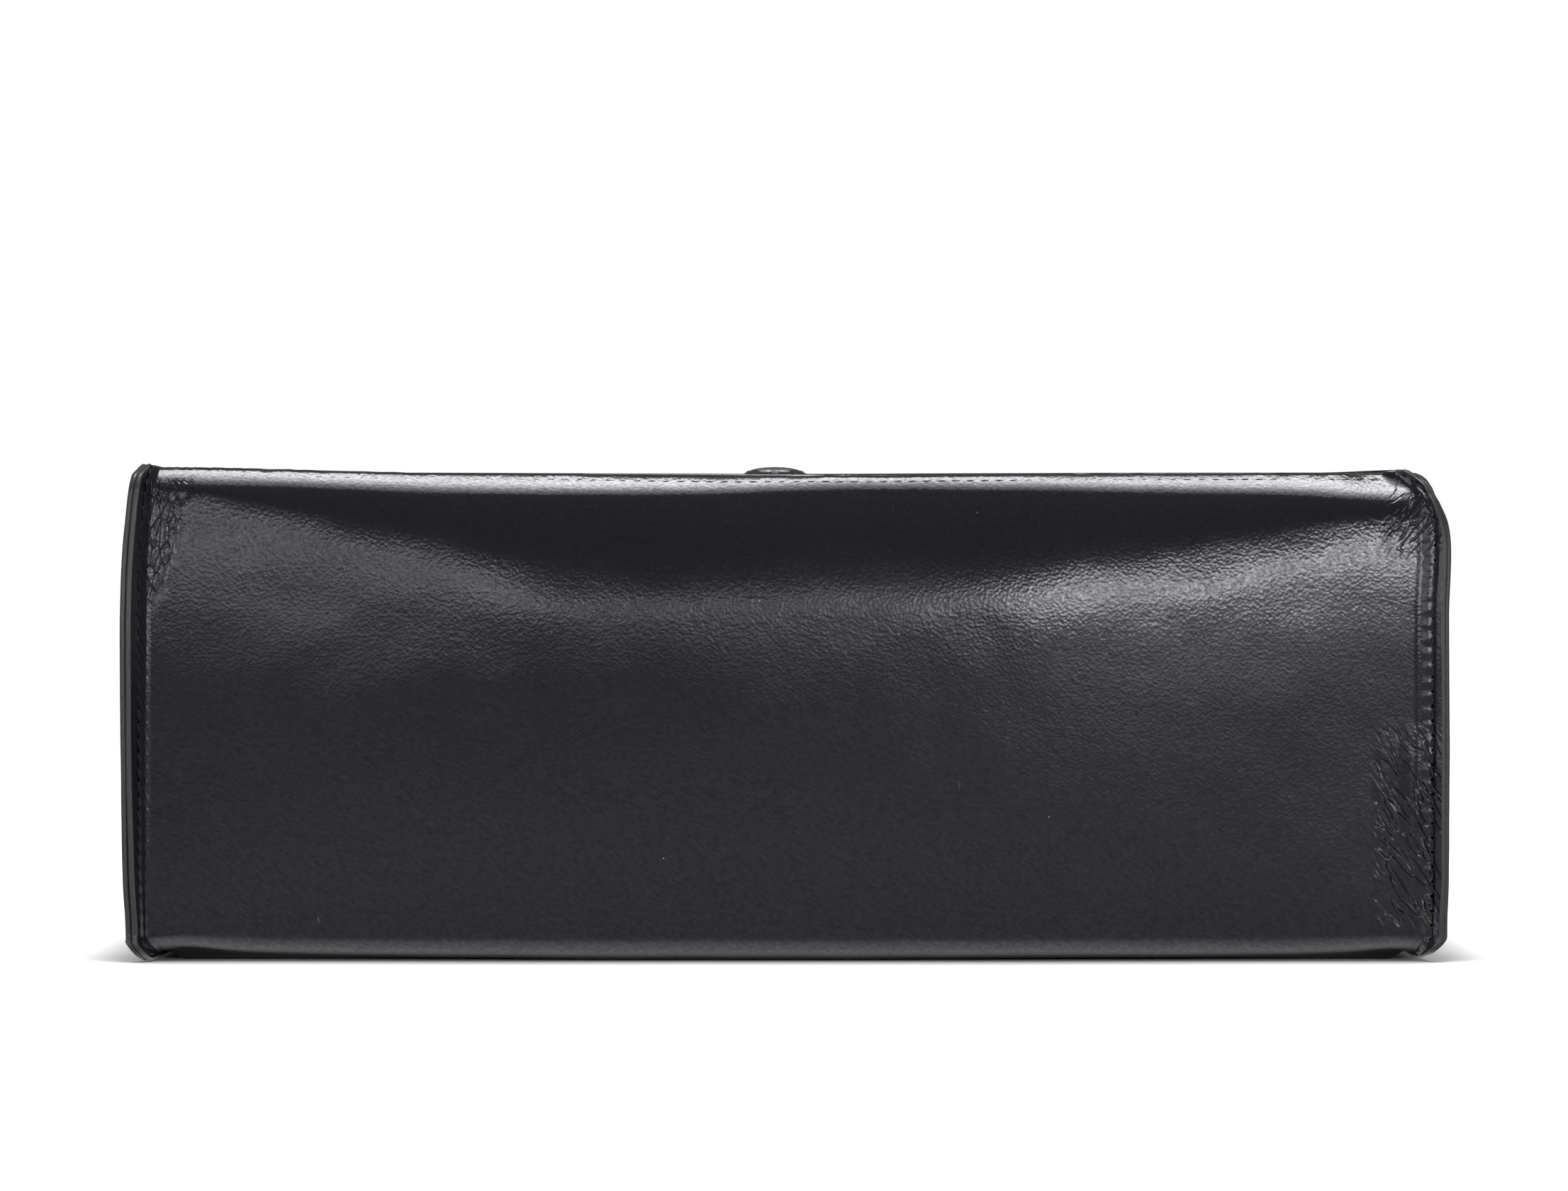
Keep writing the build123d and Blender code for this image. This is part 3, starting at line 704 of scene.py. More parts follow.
def crease(P):
    """Puckers at the wall's top corners and lower right, slow unevenness of the hide, and its ragged raw edge."""
    N = -grid_normals(P)
    rows, cols, _ = P.shape
    move = np.zeros((rows, cols))
    for r in range(rows):
        for c in range(cols):
            x, y, z = P[r, c]
            if y > REAR + 30 or z > TOP + 1:
                continue
            d = 0.25 * wobble(x / 60, z / 40, 3.1) + 0.10 * wobble(x / 18, z / 14, 7.7)
            left_end = x + SIDES[-1]["root"]
            reach = 4.5 + 0.26 * (z - 103)
            if 1.5 < left_end < 26 and z > 96:
                w = (smooth((left_end - 1.8) / 2.0) * (1 - smooth((left_end - reach) / 3.0))
                     * smooth((z - 97) / 8) * (1 - smooth((z - 131.5) / 3)))
                u = left_end - 0.30 * (z - 120) + 1.3 * wobble(x / 4, z / 6, 1.0)
                n1 = 1 - abs(wobble(u / 2.0, z / 9, 4.2)) * 2.6
                d -= w * (0.15 * max(n1, 0) ** 2 - 0.12 * wobble(u / 3.2, z / 7, 2.2))
            right_end = SIDES[1]["root"] - x
            if 1.5 < right_end < 34 and z > 108:
                w = smooth((right_end - 1.8) / 2.5) * (1 - smooth((right_end - 3) / 9)) * smooth((z - 110) / 8)
                u = z + 0.55 * right_end + 1.5 * wobble(x / 6, z / 6, 2.0)
                n1 = 1 - abs(wobble(u / 2.4, x / 9, 14.2)) * 2.6
                d -= w * 0.09 * max(n1, 0) ** 2 * (1 - smooth((z - 126) / 5))
            if 2 < right_end < 30 and z < 70:
                w = (smooth((right_end - 2.5) / 2.5) * (1 - smooth((right_end - 9) / 6)) * smooth((66 - z) / 18)
                     * smooth((z - 8) / 8))
                d -= w * 0.5 * smooth((right_end - 2) / 5) * (1 - smooth((right_end - 7) / 5))
            move[r, c] = d
    P = P + N * move[..., None]
    # the raw edge: frayed a little, and rising and falling where it was trimmed
    top = P[:, :, 2]
    for c in range(cols):
        x = P[0, c, 0]
        fray = (0.16 * wobble(x / 1.3, 5.0, 1.0) + 0.22 * wobble(x / 5.0, 1.0, 8.0)
                + 0.35 * max(0.0, wobble(x / 2.2, 9.0, 3.0)) ** 2)
        w = smooth((top[:, c] - (P[0, c, 2] - 1.3)) / 1.2) * (np.arange(rows) < 20)
        P[:, c, 2] += fray * w
    return P


P = crease(P)
NW = fin_normals(-grid_normals(P), FRAMES[-1], -1, 1)
NW = fin_normals(NW, FRAMES[1], 1, 1, last_first=True)
verts, faces, mats = hide_mesh(P, NW, -1)
wrap = add_mesh("wrap_hide", verts, faces, "case", "black_leather", [WRAP_LEATHER, EDGE, FLESH], mats)
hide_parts("body_wrap")


# ---------------------------------------------------------------- end panels

def bend_room(frames):
    """Share of the full step inwards that a row may take: less in the two tight lower bends."""
    y, z, ang = (np.array([f[key] for f in frames]) for key in ("y", "z", "ang"))
    rear = (ang < 90) | ((ang <= 90.001) & (y < 0))
    least = np.where(rear, 0.24, 0.42)
    away = np.where(ang < 60, z - 9.0, np.where(ang > 179, z - 14.0, 0.0))
    flat = (ang > 89.9) & (ang < 90.1)
    away = np.where(flat, np.minimum(y - y[flat].min(), y[flat].max() - y), away)
    return least + (1 - least) * smooth(away / 26.0)


def end_panel(side):
    """One end hide: its turned-out margin, the bend, and the field that settles on its stiffener."""
    frames = FRAMES[side]
    strips, fold = fin_columns(frames, side, -1)
    inner = np.array([k - f["out"] * BEND for k, f in zip(fold, frames)])
    bend = rounded(strips[-1], fold, inner)
    field = []
    room = bend_room(frames)
    for step in (0.0, 2.5, 6.0, 11.0, 18.0):
        ring = []
        for f, p, free in zip(frames, inner, room):
            d = step * free
            q = p - f["out"] * d
            w = smooth(d / (18.0 * free) if f["ang"] < 60 or f["ang"] > 150 else d / 5.0)
            q[0] = p[0] * (1 - w) + side * (END + 0.1) * w
            if p[2] > RIM:
                q[2] = min(q[2], RIM + (p[2] - RIM) * (1 - smooth(d / 2.4)))
            ring.append(q)
        field.append(np.array(ring))
    last = field[-1]
    goal = np.stack([np.full(len(last), side * (END + 0.1)), np.clip(last[:, 1], -112, 112) * 0.92,
                     np.full(len(last), RIM)], axis=1)
    field += [last * (1 - share) + goal * share for share in (0.12, 0.26, 0.42, 0.58, 0.74, 0.88, 1.0)]
    P = np.stack(strips + bend + field, axis=1)
    N = -grid_normals(P) * side
    flat = len(strips) + len(bend) + 4
    N[:, flat:] = (float(side), 0.0, 0.0)
    N = fin_normals(N, frames, side, -1)
    for p in P.reshape(-1, 3):
        _, y, z = p
        p[0] += side * (0.16 * wobble(y / 30, z / 30, side * 9.0) + 0.05 * wobble(y / 9, z / 9, side * 5.0))
    return P, N


for side, name, cad_name in ((-1, "left_end_hide", "left_end_panel"), (1, "right_end_hide", "right_end_panel")):
    PE, NE = end_panel(side)
    verts, faces, mats = hide_mesh(PE, NE, -side)
    panel = add_mesh(name, verts, faces, "case", "black_leather", HIDES, mats)
    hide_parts(cad_name)


# ---------------------------------------------------------------- seam stitching

def seam_stitches(side, layer, name):
    path, normals = [], []
    for f in FRAMES[side]:
        reach = margin_length(f)
        q = min(SEWN_AT, reach - 1.4)
        if q < 2.4:
            continue
        path.append(fin_point(side, f, q, layer, -SEWN_DIP * smooth((reach - 4.0) / 1.5)))
        normals.append(fin_axes(side, f)[1] * layer)
    stitch_line(name, path, normals, "case", length=2.5, width=0.8, sink=0.0, spare=1.0, holes=0.62)


for side, word in ((-1, "left"), (1, "right")):
    seam_stitches(side, 1, word + "_seam_stitches_outer")
    seam_stitches(side, -1, word + "_seam_stitches_inner")


# ---------------------------------------------------------------- stitched hinge edge

dash_path, dash_normals = [], []
for x in np.linspace(-SIDES[-1]["root"] + 6, SIDES[1]["root"] - 6, 240):
    sec = section(x)[:60, :2]
    run = lengths(sec)
    (y, z), (y2, z2) = ([np.interp(at, run, sec[:, k]) for k in (0, 1)] for at in (3.0, 3.3))
    dash_path.append((x, y, z))
    dash_normals.append(unit(np.array([0.0, z2 - z, -(y2 - y)])))
stitch_line("hinge_stitches", dash_path, dash_normals, "case", length=2.4, width=0.27, skew=4.0, sink=0.05)


# ---------------------------------------------------------------- lid hide

(_, LID_REAR, SKIRT_LOW), (LID_X, LID_FRONT, LID_TOP) = box_mm("lid_hide")
FOLD_R = 6.0                     # the top's fold into the skirts, its corners in plan, and the skirts' lower corners
PLAN_R = 9.0
SKIRT_R = 11.0
INSET = 16.0                     # the folded edge's reach inwards over the top
ABOVE_RIM = RIM + 0.3            # where the lid ends between its skirts
END_DROP = 30.0                  # depth of the two end skirts
QUARTER = (15, 30, 45, 60, 75)   # steps round a corner, in degrees
front_half = SIDES[1]["root"] - 6.5
end_front, end_rear = FRONT - 7.8, LID_REAR + 5.0


def lid_level(x, y):
    """Height of the lid's top; it settles a little towards the middle of its hinge."""
    return LID_TOP - 0.35 * (1 - smooth((y - LID_REAR) / 60)) * (1 - smooth(abs(x) / 120))


def skirt_depth(kind, at):
    """Height of the skirt's lower edge at a place along one of the three sides."""
    low, a, b = (LID_TOP - END_DROP, end_rear, end_front) if kind == "end" else (SKIRT_LOW, -front_half, front_half)
    near = min(at - a, b - at)
    if near < 0:
        return ABOVE_RIM
    return low + SKIRT_R - rounding(SKIRT_R, near)


def side_stations(a, b, low, high):
    """Places along a side from low to high, crowded at the skirt's two ends."""
    arcs = [SKIRT_R * (1 - cosd(t)) for t in (0, *QUARTER, 90)]
    rise = ([low] + ([(low + a) / 2] if a - low > 3 else []) + [a - 0.01] + [a + t for t in arcs])
    fall = [b - t for t in arcs[::-1]] + [b + 0.01] + ([(high + b) / 2] if high - b > 3 else []) + [high]
    return rise + list(np.linspace(a + SKIRT_R, b - SKIRT_R, 30)[1:-1]) + fall


def lid_profile(low):
    """Steps of one station's profile, from the top inwards to the skirt's lower edge: (distance in, height)."""
    pts = [(INSET - k * (INSET - FOLD_R) / 4, LID_TOP) for k in range(5)]
    pts += [(FOLD_R - FOLD_R * sind(t), LID_TOP - FOLD_R + FOLD_R * cosd(t))
            for t in (12, 24, 36, 48, 60, 72, 84)]
    # the fold's last part is cut short where there is no skirt
    pts = [(i, max(z, low + 0.02 * (len(pts) - k))) for k, (i, z) in enumerate(pts)]
    z0 = pts[-1][1]
    pts += [(0.0, z0 + (low - z0) * t) for t in (0.08, 0.3, 0.6, 0.88, 1.0)]
    return pts


side_y = side_stations(end_rear, end_front, LID_REAR, LID_FRONT - PLAN_R)
front_x = side_stations(-front_half, front_half, -(LID_X - PLAN_R), LID_X - PLAN_R)


def end_stations(side):
    """The stations of one end: (place, outward direction, lower edge)."""
    return [((side * LID_X, y), (side, 0.0), skirt_depth("end", y)) for y in side_y]


def corner_stations(side):
    return [((side * (LID_X - PLAN_R + PLAN_R * cosd(t)), LID_FRONT - PLAN_R + PLAN_R * sind(t)),
             (side * cosd(t), sind(t)), ABOVE_RIM) for t in QUARTER]


front_stations = [((x, LID_FRONT), (0.0, 1.0), skirt_depth("front", x)) for x in front_x]
stations = (end_stations(-1) + corner_stations(-1) + front_stations + corner_stations(1)[::-1]
            + end_stations(1)[::-1])
lid_grid = []
for (x, y), (nx, ny), low in stations:
    row = []
    for inset, z in lid_profile(low):
        px, py = x - nx * inset, y - ny * inset
        if inset > PLAN_R:
            px, py = np.clip(px, inset - LID_X, LID_X - inset), min(py, LID_FRONT - inset)
        wave = 0.22 * wobble(px / 38, py / 38, z / 25) * smooth((INSET - inset) / 8.0)
        row.append((px + nx * wave, py + ny * wave, z))
    lid_grid.append(row)
lid_grid = np.array(lid_grid)
rows, cols, _ = lid_grid.shape
lid_verts = list(lid_grid.reshape(-1, 3))
lid_faces = grid_faces(rows, cols, flip=True)
xs = sorted({-(LID_X - INSET), LID_X - INSET, *[x for x in front_x if abs(x) < LID_X - INSET]})
ys = sorted({LID_FRONT - INSET, *[y for y in side_y if y < LID_FRONT - INSET]})
lid_faces += grid_faces(len(ys), len(xs), start=len(lid_verts))
for y in ys:
    for x in xs:
        edge = min(LID_X - INSET - abs(x), LID_FRONT - INSET - y)
        swell = 0.10 * smooth(edge / 20) * wobble(x / 45, y / 45, 2.0)
        lid_verts.append(np.array((x, y, lid_level(x, y) + swell)))
lid = sheet("lid_top_hide", lid_verts, lid_faces, HIDE)
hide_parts("lid_hide")
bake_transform(lid)


# ---------------------------------------------------------------- lid margin inside the case

(_, _, margin_foot), (margin_x, _, _) = box_mm("lid_hinge_margin")


def margin_path(x):
    """The lid hide's fixed margin at x: up inside the wall, under the wrap's edge and on to the hinge."""
    sec = section(x)[:len(ROWS_WALL), :2]
    d = np.gradient(sec, axis=0)
    d /= np.linalg.norm(d, axis=1, keepdims=True)
    inward = np.stack([-d[:, 1], d[:, 0]], axis=1)
    under = (sec + inward * (HIDE + 0.12))[2:][::-1]
    run = lengths(under)
    start = np.interp(margin_foot, under[:, 1], run)
    at = start + (run[-1] - start) * np.linspace(0, 1, 22)
    pts = list(np.stack([np.interp(at, run, under[:, 0]), np.interp(at, run, under[:, 1])], axis=1))
    p0, p1 = pts[-1], np.array([LID_REAR + 0.25, lid_level(x, LID_REAR)])
    t0, t1 = unit(pts[-1] - pts[-2]) * 3.0, np.array([3.0, 0.0])
    return pts + [hermite(t, p0, p1, t0, t1) for t in steps(8)]


xs = np.linspace(-margin_x, margin_x, 110)
paths = [margin_path(x) for x in xs]
points = [(x, *path[i]) for i in range(len(paths[0])) for x, path in zip(xs, paths)]
margin = sheet("lid_margin_hide", points, grid_faces(len(paths[0]), len(xs)), HIDE, "case", bevel=0.4)
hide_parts("lid_hinge_margin")


# ---------------------------------------------------------------- lining, rim facing, lid lining

def crowded(low, high, near, gap, count):
    """Places from low to high, closer together where the cloth is tucked in at both ends."""
    near = np.array(near)
    return np.concatenate([low + near, np.linspace(low + gap, high - gap, count), high - near[::-1]])


def cradle_sheet():
    """Cloth lining of the case: one trough of cloth and two end pieces, tucked along their seams."""
    (_, y0, z0), (x1, y1, z1) = box_mm("case_lining")
    x1, y0, y1, z0 = x1 - 0.8, y0 + 0.8, y1 - 0.8, z0 + 0.8
    r = BASE_RADIUS - 4.8
    down, bend = np.linspace(z1, z0 + r, 22), np.linspace(10, 80, 8)
    path = [(y0, z) for z in down] + [(y0 + r - r * cosd(a), z0 + r - r * sind(a)) for a in bend]
    path += [(y, z0) for y in np.linspace(y0 + r, y1 - r, 40)]
    path += [(y1 - r + r * cosd(a), z0 + r - r * sind(a)) for a in bend[::-1]] + [(y1, z) for z in down[::-1]]
    xs = crowded(-x1, x1, [0, 0.3, 0.8, 1.6, 3.0], 8, 50)
    n = len(path)
    verts = []
    for i, (y, z) in enumerate(path):
        a, b = path[max(i - 1, 0)], path[min(i + 1, n - 1)]
        ty, tz = unit(np.subtract(b, a))
        inward = np.array([-tz, ty])
        for x in xs:
            near = x1 - abs(x)
            puff = 0.30 * math.exp(-near / 1.2)
            wave = 0.16 * (1 + wobble(x / 28, y / 28, z / 28)) * smooth(near / 5)
            q = np.array([y, z]) + inward * (puff + wave)
            verts.append((x, q[0], min(q[1], z1)))
    faces = grid_faces(n, len(xs), flip=True)
    for side in (-1, 1):
        start = len(verts)
        shares = (0.0, 0.02, 0.06, 0.14, 0.28, 0.45, 0.63, 0.82, 1.0)
        for i, (y, z) in enumerate(path):
            goal = np.array([np.clip(y, -120, 120) * 0.9, z1])
            for t in shares:
                q = np.array([y, z]) * (1 - t) + goal * t
                wave = 0.22 * (1 + wobble(q[0] / 30, q[1] / 26, side * 6.0)) * smooth(t / 0.15)
                verts.append((side * (x1 - wave), q[0], q[1]))
        faces += grid_faces(n, len(shares), start=start, flip=side < 0)
    return verts, faces


lining_piece = sheet("case_lining_cloth", *cradle_sheet(), 0.7, "case", "lining_cloth", bevel=0)
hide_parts("case_lining")

(_, fy0, fz0), (fx, fy1, fz1) = box_mm("rim_facing")
TURN_R, FACED = 5.0, 1.2         # its front corners' radius, and its outside from its box


def facing_corner(side):
    return [(side * (fx - TURN_R + (TURN_R - FACED) * cosd(a)), fy1 - TURN_R + (TURN_R - FACED) * sind(a))
            for a in QUARTER]


ring = [(-fx + FACED, y) for y in np.linspace(fy0, fy1 - TURN_R, 60)] + facing_corner(-1)
ring += [(x, fy1 - FACED) for x in np.linspace(-fx + TURN_R, fx - TURN_R, 70)] + facing_corner(1)[::-1]
ring += [(fx - FACED, y) for y in np.linspace(fy1 - TURN_R, fy0, 60)]
ring = np.array(ring)
tangent = np.gradient(ring, axis=0)
tangent /= np.linalg.norm(tangent, axis=1, keepdims=True)
inside = np.stack([tangent[:, 1], -tangent[:, 0]], axis=1)
tall = fz1 - fz0
levels = [0, 0.5, 1.2, *np.linspace(3, tall - 3, 7), tall - 1.2, tall - 0.4, tall]
fv = []
for (x, y), (ix, iy) in zip(ring, inside):
    for k in levels:
        near = min(k, tall - k)
        puff = -0.35 * math.exp(-near / 0.7) - 0.18 * bell(k - 3.0, 0.9)
        puff += 0.10 * wobble(x / 16, y / 16, k / 8)
        fv.append((x + ix * puff, y + iy * puff, fz0 + k))
facing = sheet("rim_facing_hide", fv, grid_faces(len(ring), len(levels)), 1.0, "case", bevel=0.3)
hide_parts("rim_facing")
points = [(x - ix * 0.15, y - iy * 0.15, fz0 + 3.0) for (x, y), (ix, iy) in zip(ring, inside)]
stitch_line("rim_facing_stitches", points, [(*v, 0) for v in inside], "case", spare=3)

(_, ly0, lz), (lx, ly1, _) = box_mm("lid_lining")
near_ends = [0, 0.4, 1.0, 2.2, 4.5]
us, vs = crowded(-lx, lx, near_ends, 9, 46), crowded(ly0, ly1, near_ends, 9, 40)
corner = 6.0
cx, cy = lx - corner, ly1 - corner
lv = []
for y in vs:
    for x in us:
        px, py = x, y
        if abs(x) > cx and y > cy:
            a, b = (abs(x) - cx) / corner, (y - cy) / corner
            k = max(a, b) / max(math.hypot(a, b), 1e-6)
            px, py = math.copysign(cx + a * k * corner, x), cy + b * k * corner
        near = min(lx - abs(x), y - ly0, ly1 - y)
        puff = 0.30 * math.exp(-near / 1.0)
        wave = 0.10 * (1 + wobble(x / 26, y / 26, 8.0))
        lv.append((px, py, lz + puff + wave))
liner = sheet("lid_lining_cloth", lv, grid_faces(len(vs), len(us), flip=True), 0.55, "lid", "lining_cloth", bevel=0)
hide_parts("lid_lining")


# ---------------------------------------------------------------- handle

(gx0, gy0, grip_z0), (gx1, gy1, grip_z1) = box_mm("handle_grip")
grip_x, grip_mid = (gx0 + gx1) / 2, (gy0 + gy1) / 2
grip_w, grip_half = (gx1 - gx0) / 2, (gy1 - gy0) / 2
(sx0, _, sz0), (sx1, _, sz1) = box_mm("handle_front_strap")
STRAP_T, STRAP_W = sz1 - sz0, (sx1 - sx0) / 2
STRAP_END_W = STRAP_W - 1.5      # half the width of a strap's rounded end, which is its radius too
IN_GRIP = 4.0                    # a strap starts this far inside the grip
STUD_AT = 75.0                   # a stud's middle from the handle's middle
SLOT_HALF = 3.1                  # half the slot's width
DRAW = 6.0                       # how far the strap's end slides in on its stud
STRAP_SEWN_IN = 1.7              # the stitching's distance from the strap's edge
GRIP_SEWN_IN = 2.2               # and from the grip's
FLANK = 1.5                      # thickness of the grip's edges
SQUARE, CROWN = 0.82, 1.05       # how square the grip's section is: powers of its width and of its height


def grip_width(near):
    """Half the grip's width at a distance from its nearer end."""
    return grip_w - 1.4 * (1 - smooth((near + 4.5) / 15.0))


def grip_rise(near):
    """Height of the grip's crown at a distance from its nearer end."""
    return STRAP_T + 0.3 + (grip_z1 - grip_z0 - STRAP_T - 0.3) * smooth((near - 1.0) / 21.0)


def grip_surface():
    """Closed padded grip: rings across the handle, from end to end."""
    half_way = [0.0, 0.5, 1.5, 3.5, 6.5, 10, 14, 18, 22, 27, 33, 39]
    stations = half_way + [2 * grip_half - v for v in half_way[::-1]]
    around = 32
    verts = []
    for v in stations:
        near = min(v, 2 * grip_half - v)
        rise, width = grip_rise(near), grip_width(near)
        round_end = math.sqrt(max(0.0, 1 - (1 - min(near / 2.0, 1)) ** 2))
        for a in np.linspace(0, 2 * math.pi, around + 1)[:-1]:
            cx, cz = math.cos(a), math.sin(a)
            x = math.copysign(abs(cx) ** SQUARE, cx) * width * (0.93 + 0.07 * round_end)
            if cz >= 0:
                z = FLANK / 2 + (rise - FLANK / 2) * abs(cz) ** CROWN * (0.35 + 0.65 * round_end)
                z -= 0.18 * bell(abs(x) - (width - GRIP_SEWN_IN), 0.7) * round_end
            else:
                z = FLANK / 2 - FLANK / 2 * abs(cz) ** 0.5
            z += 0.08 * wobble(x / 7, v / 9, z / 5) * round_end * (cz > 0)
            verts.append((grip_x + x, grip_mid - grip_half + v, grip_z0 + z))
    return verts, tube_faces(0, len(stations), around)


grip = add_mesh("grip_hide", *grip_surface(), "handle_grip", "black_leather", [LEATHER])
bm = bmesh.new()
bm.from_mesh(grip.data)
bmesh.ops.recalc_face_normals(bm, faces=bm.faces)
bm.to_mesh(grip.data)
bm.free()
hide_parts("handle_grip", "handle_core")
for side, word in ((-1, "left"), (1, "right")):
    points = []
    for v in np.linspace(4, 2 * grip_half - 4, 60):
        near = min(v, 2 * grip_half - v)
        x = grip_width(near) - GRIP_SEWN_IN
        c = (x / grip_width(near)) ** (1 / SQUARE)
        z = FLANK / 2 + (grip_rise(near) - FLANK / 2) * math.sqrt(max(0, 1 - c * c)) ** CROWN - 0.18
        points.append((grip_x + side * x, grip_mid - grip_half + v, grip_z0 + z))
    stitch_line("grip_stitches_" + word, points, (side * 0.45, 0, 0.9), "handle_grip", pitch=3.4, length=2.3, width=0.7)


def strap_width(v, run):
    """Half the strap's width at the distance v from its start; its end is round."""
    if v > run - STRAP_END_W:
        return math.sqrt(max(0.02, STRAP_END_W**2 - (v - run + STRAP_END_W) ** 2))
    return STRAP_W - 1.5 * smooth((v - 2.0) / 18.0)


def strap_mesh(end, neck):
    """The slotted end of a handle strap, or the neck between it and the grip, which rises towards the grip."""
    (_, y0, _), (_, y1, z1) = box_mm("handle_front_strap" if end > 0 else "handle_rear_strap")
    root = grip_mid + end * (grip_half - IN_GRIP)
    run = abs((y1 if end > 0 else y0) - root)
    stud = STUD_AT - (grip_half - IN_GRIP)
    slot_a, slot_b = stud - SLOT_HALF, stud + DRAW + SLOT_HALF
    (_, y0, _), (_, y1, _) = box_mm("handle_studs")
    # the neck ends just short of the stud's head
    split = stud - ((y1 - y0) / 2 - STUD_AT) - 0.6
    arc = [SLOT_HALF * (1 - cosd(t)) for t in (0, 20, 40, 60, 90)]
    if neck:
        vs = np.linspace(0, split, 26)
    else:
        vs = sorted([split - 5.0, slot_a - 8.9, slot_a - 3, slot_a - 1.5, slot_b + 1.0, *[slot_a + t for t in arc],
                     *[slot_b - t for t in arc],
                     *[run - STRAP_END_W * (1 - sind(t)) for t in (20, 35, 50, 62, 74, 84, 90)]])

    def top(v):
        return z1 - 0.10 + 1.30 * smooth((v - 7.0) / (split - 13.0)) if neck else z1 - 0.02

    def slot(v):
        near = min(v - slot_a, slot_b - v)
        return rounding(SLOT_HALF, near) if near > 0 else 0.0

    verts, faces = [], []
    cols = 6
    for side in (-1, 1):
        faces += grid_faces(len(vs), cols, start=len(verts), flip=(side > 0) == (end < 0))
        for v in vs:
            width = strap_width(v, run)
            for t in np.linspace(0, 1, cols):
                x = slot(v) + (width - slot(v)) * t
                z = top(v) - 0.12 * bell(x - width + 2.2, 0.5) - 0.35 * smooth((2.0 - (width - x)) / 2.0)
                verts.append((grip_x + side * x, root + end * v, z))
    return verts, faces, split, root, run, z1


for end, word in ((1, "front"), (-1, "rear")):
    verts, faces, split, root, run, z1 = strap_mesh(end, True)
    neck = sheet(word + "_strap_neck", verts, faces, 0.9, bevel=0.25)
    (root + end * (split - 1.0)) * MM
    (root + end * 4.5) * MM
    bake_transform(neck)
    strap = sheet(word + "_strap_hide", *strap_mesh(end, False)[:2], STRAP_T - 0.05, bevel=0.45)
    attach(strap, word + "_strap")
    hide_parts("handle_%s_strap" % word)
    # stitched all round, inside its edge
    turn = STRAP_END_W - STRAP_SEWN_IN
    out = [(strap_width(v, run) - STRAP_SEWN_IN, v) for v in np.linspace(split + 0.9, run - STRAP_END_W, 20)]
    tip = [(-cosd(a) * turn, run - STRAP_END_W + turn * sind(a)) for a in np.linspace(0, 180, 25)]
    outline = [(-x, v) for x, v in out] + tip + out[::-1]
    points = [(grip_x + x, root + end * v, z1 - 0.08) for x, v in outline + outline[:1]]
    sewn = stitch_line(word + "_strap_stitches", points, (0, 0, 1), None, pitch=3.0, length=2.0, width=0.55)
    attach(sewn, word + "_strap")


# ---------------------------------------------------------------- closing tab

(_, _, tab_lo), (tab_x, tab_y, _) = box_mm("closing_tab")
tab_hi = box_mm("tab_anchor")[1][2]
drop = tab_hi - tab_lo
TAB_T = 2.2
TAB_R = 16.0                     # its round lower end
TAB_TOP_R = 2.2


def tab_width(v):
    """Half the tab's width at the distance v down from its top."""
    return tab_x - TAB_R + rounding(TAB_R, drop - v) - TAB_TOP_R + rounding(TAB_TOP_R, v)


tab_vs = [0, 0.6, 1.5, 3, *np.linspace(5, drop - TAB_R - 1, 26),
          *[drop - TAB_R + TAB_R * sind(t) for t in (0, 15, 30, 45, 58, 70, 80, 88)]]
us = (-1, -0.97, -0.9, -0.75, -0.5, -0.25, 0, 0.25, 0.5, 0.75, 0.9, 0.97, 1)
points = []
for v in tab_vs:
    for u in us:
        x, z = u * tab_width(v), tab_hi - v
        inset = min(tab_width(v) - abs(x), v, drop - v)
        wave = 0.10 * wobble(x / 14, z / 14, 3.0) - 0.10
        points.append((x, tab_y - 0.02 - 0.14 * bell(inset - 2.4, 0.5) + wave * smooth(inset / 3), z))
tab = sheet("closing_tab_hide", points, grid_faces(len(tab_vs), len(us)), TAB_T - 0.15, bevel=0.45)
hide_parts("tab_anchor", "closing_tab")
SEWN_IN = 2.4                    # the stitching's distance from the tab's edge
down = [(tab_width(v) - SEWN_IN, tab_hi - v) for v in np.linspace(3, drop - TAB_R, 40)]
turned_end = [(tab_x - TAB_R + (TAB_R - SEWN_IN) * cosd(a), tab_lo + TAB_R - (TAB_R - SEWN_IN) * sind(a))
              for a in np.linspace(5, 175, 30)[:15]]
half = down + turned_end
points = [(-x, tab_y, z) for x, z in half] + [(x, tab_y, z) for x, z in half[::-1]]
tab_sewn = stitch_line("tab_stitches", points, (0, 1, 0), None, pitch=3.4, length=2.3, width=0.65, sink=0.18)
for piece in (tab, tab_sewn):
    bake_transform(piece)


# ---------------------------------------------------------------- stage, light and camera

def area_light(name, where, look, size, radiance):
    """A soft lamp of the same brightness all over, whatever its size."""
    data = bpy.data.lights.new(name, "AREA")
    data.shape = "RECTANGLE"
    data.size, data.size_y = size
    data.energy = radiance * size[0] * size[1] * math.pi
    obj = new_object(name, data)
    obj.location = where
    obj.rotation_euler = (Vector(look) - Vector(where)).to_track_quat("-Z", "Y").to_euler()
    obj.visible_camera = False


world = bpy.data.worlds.new("studio")
bpy.context.scene.world = world
world.use_nodes = True
wt = world.node_tree
wt.nodes.clear()
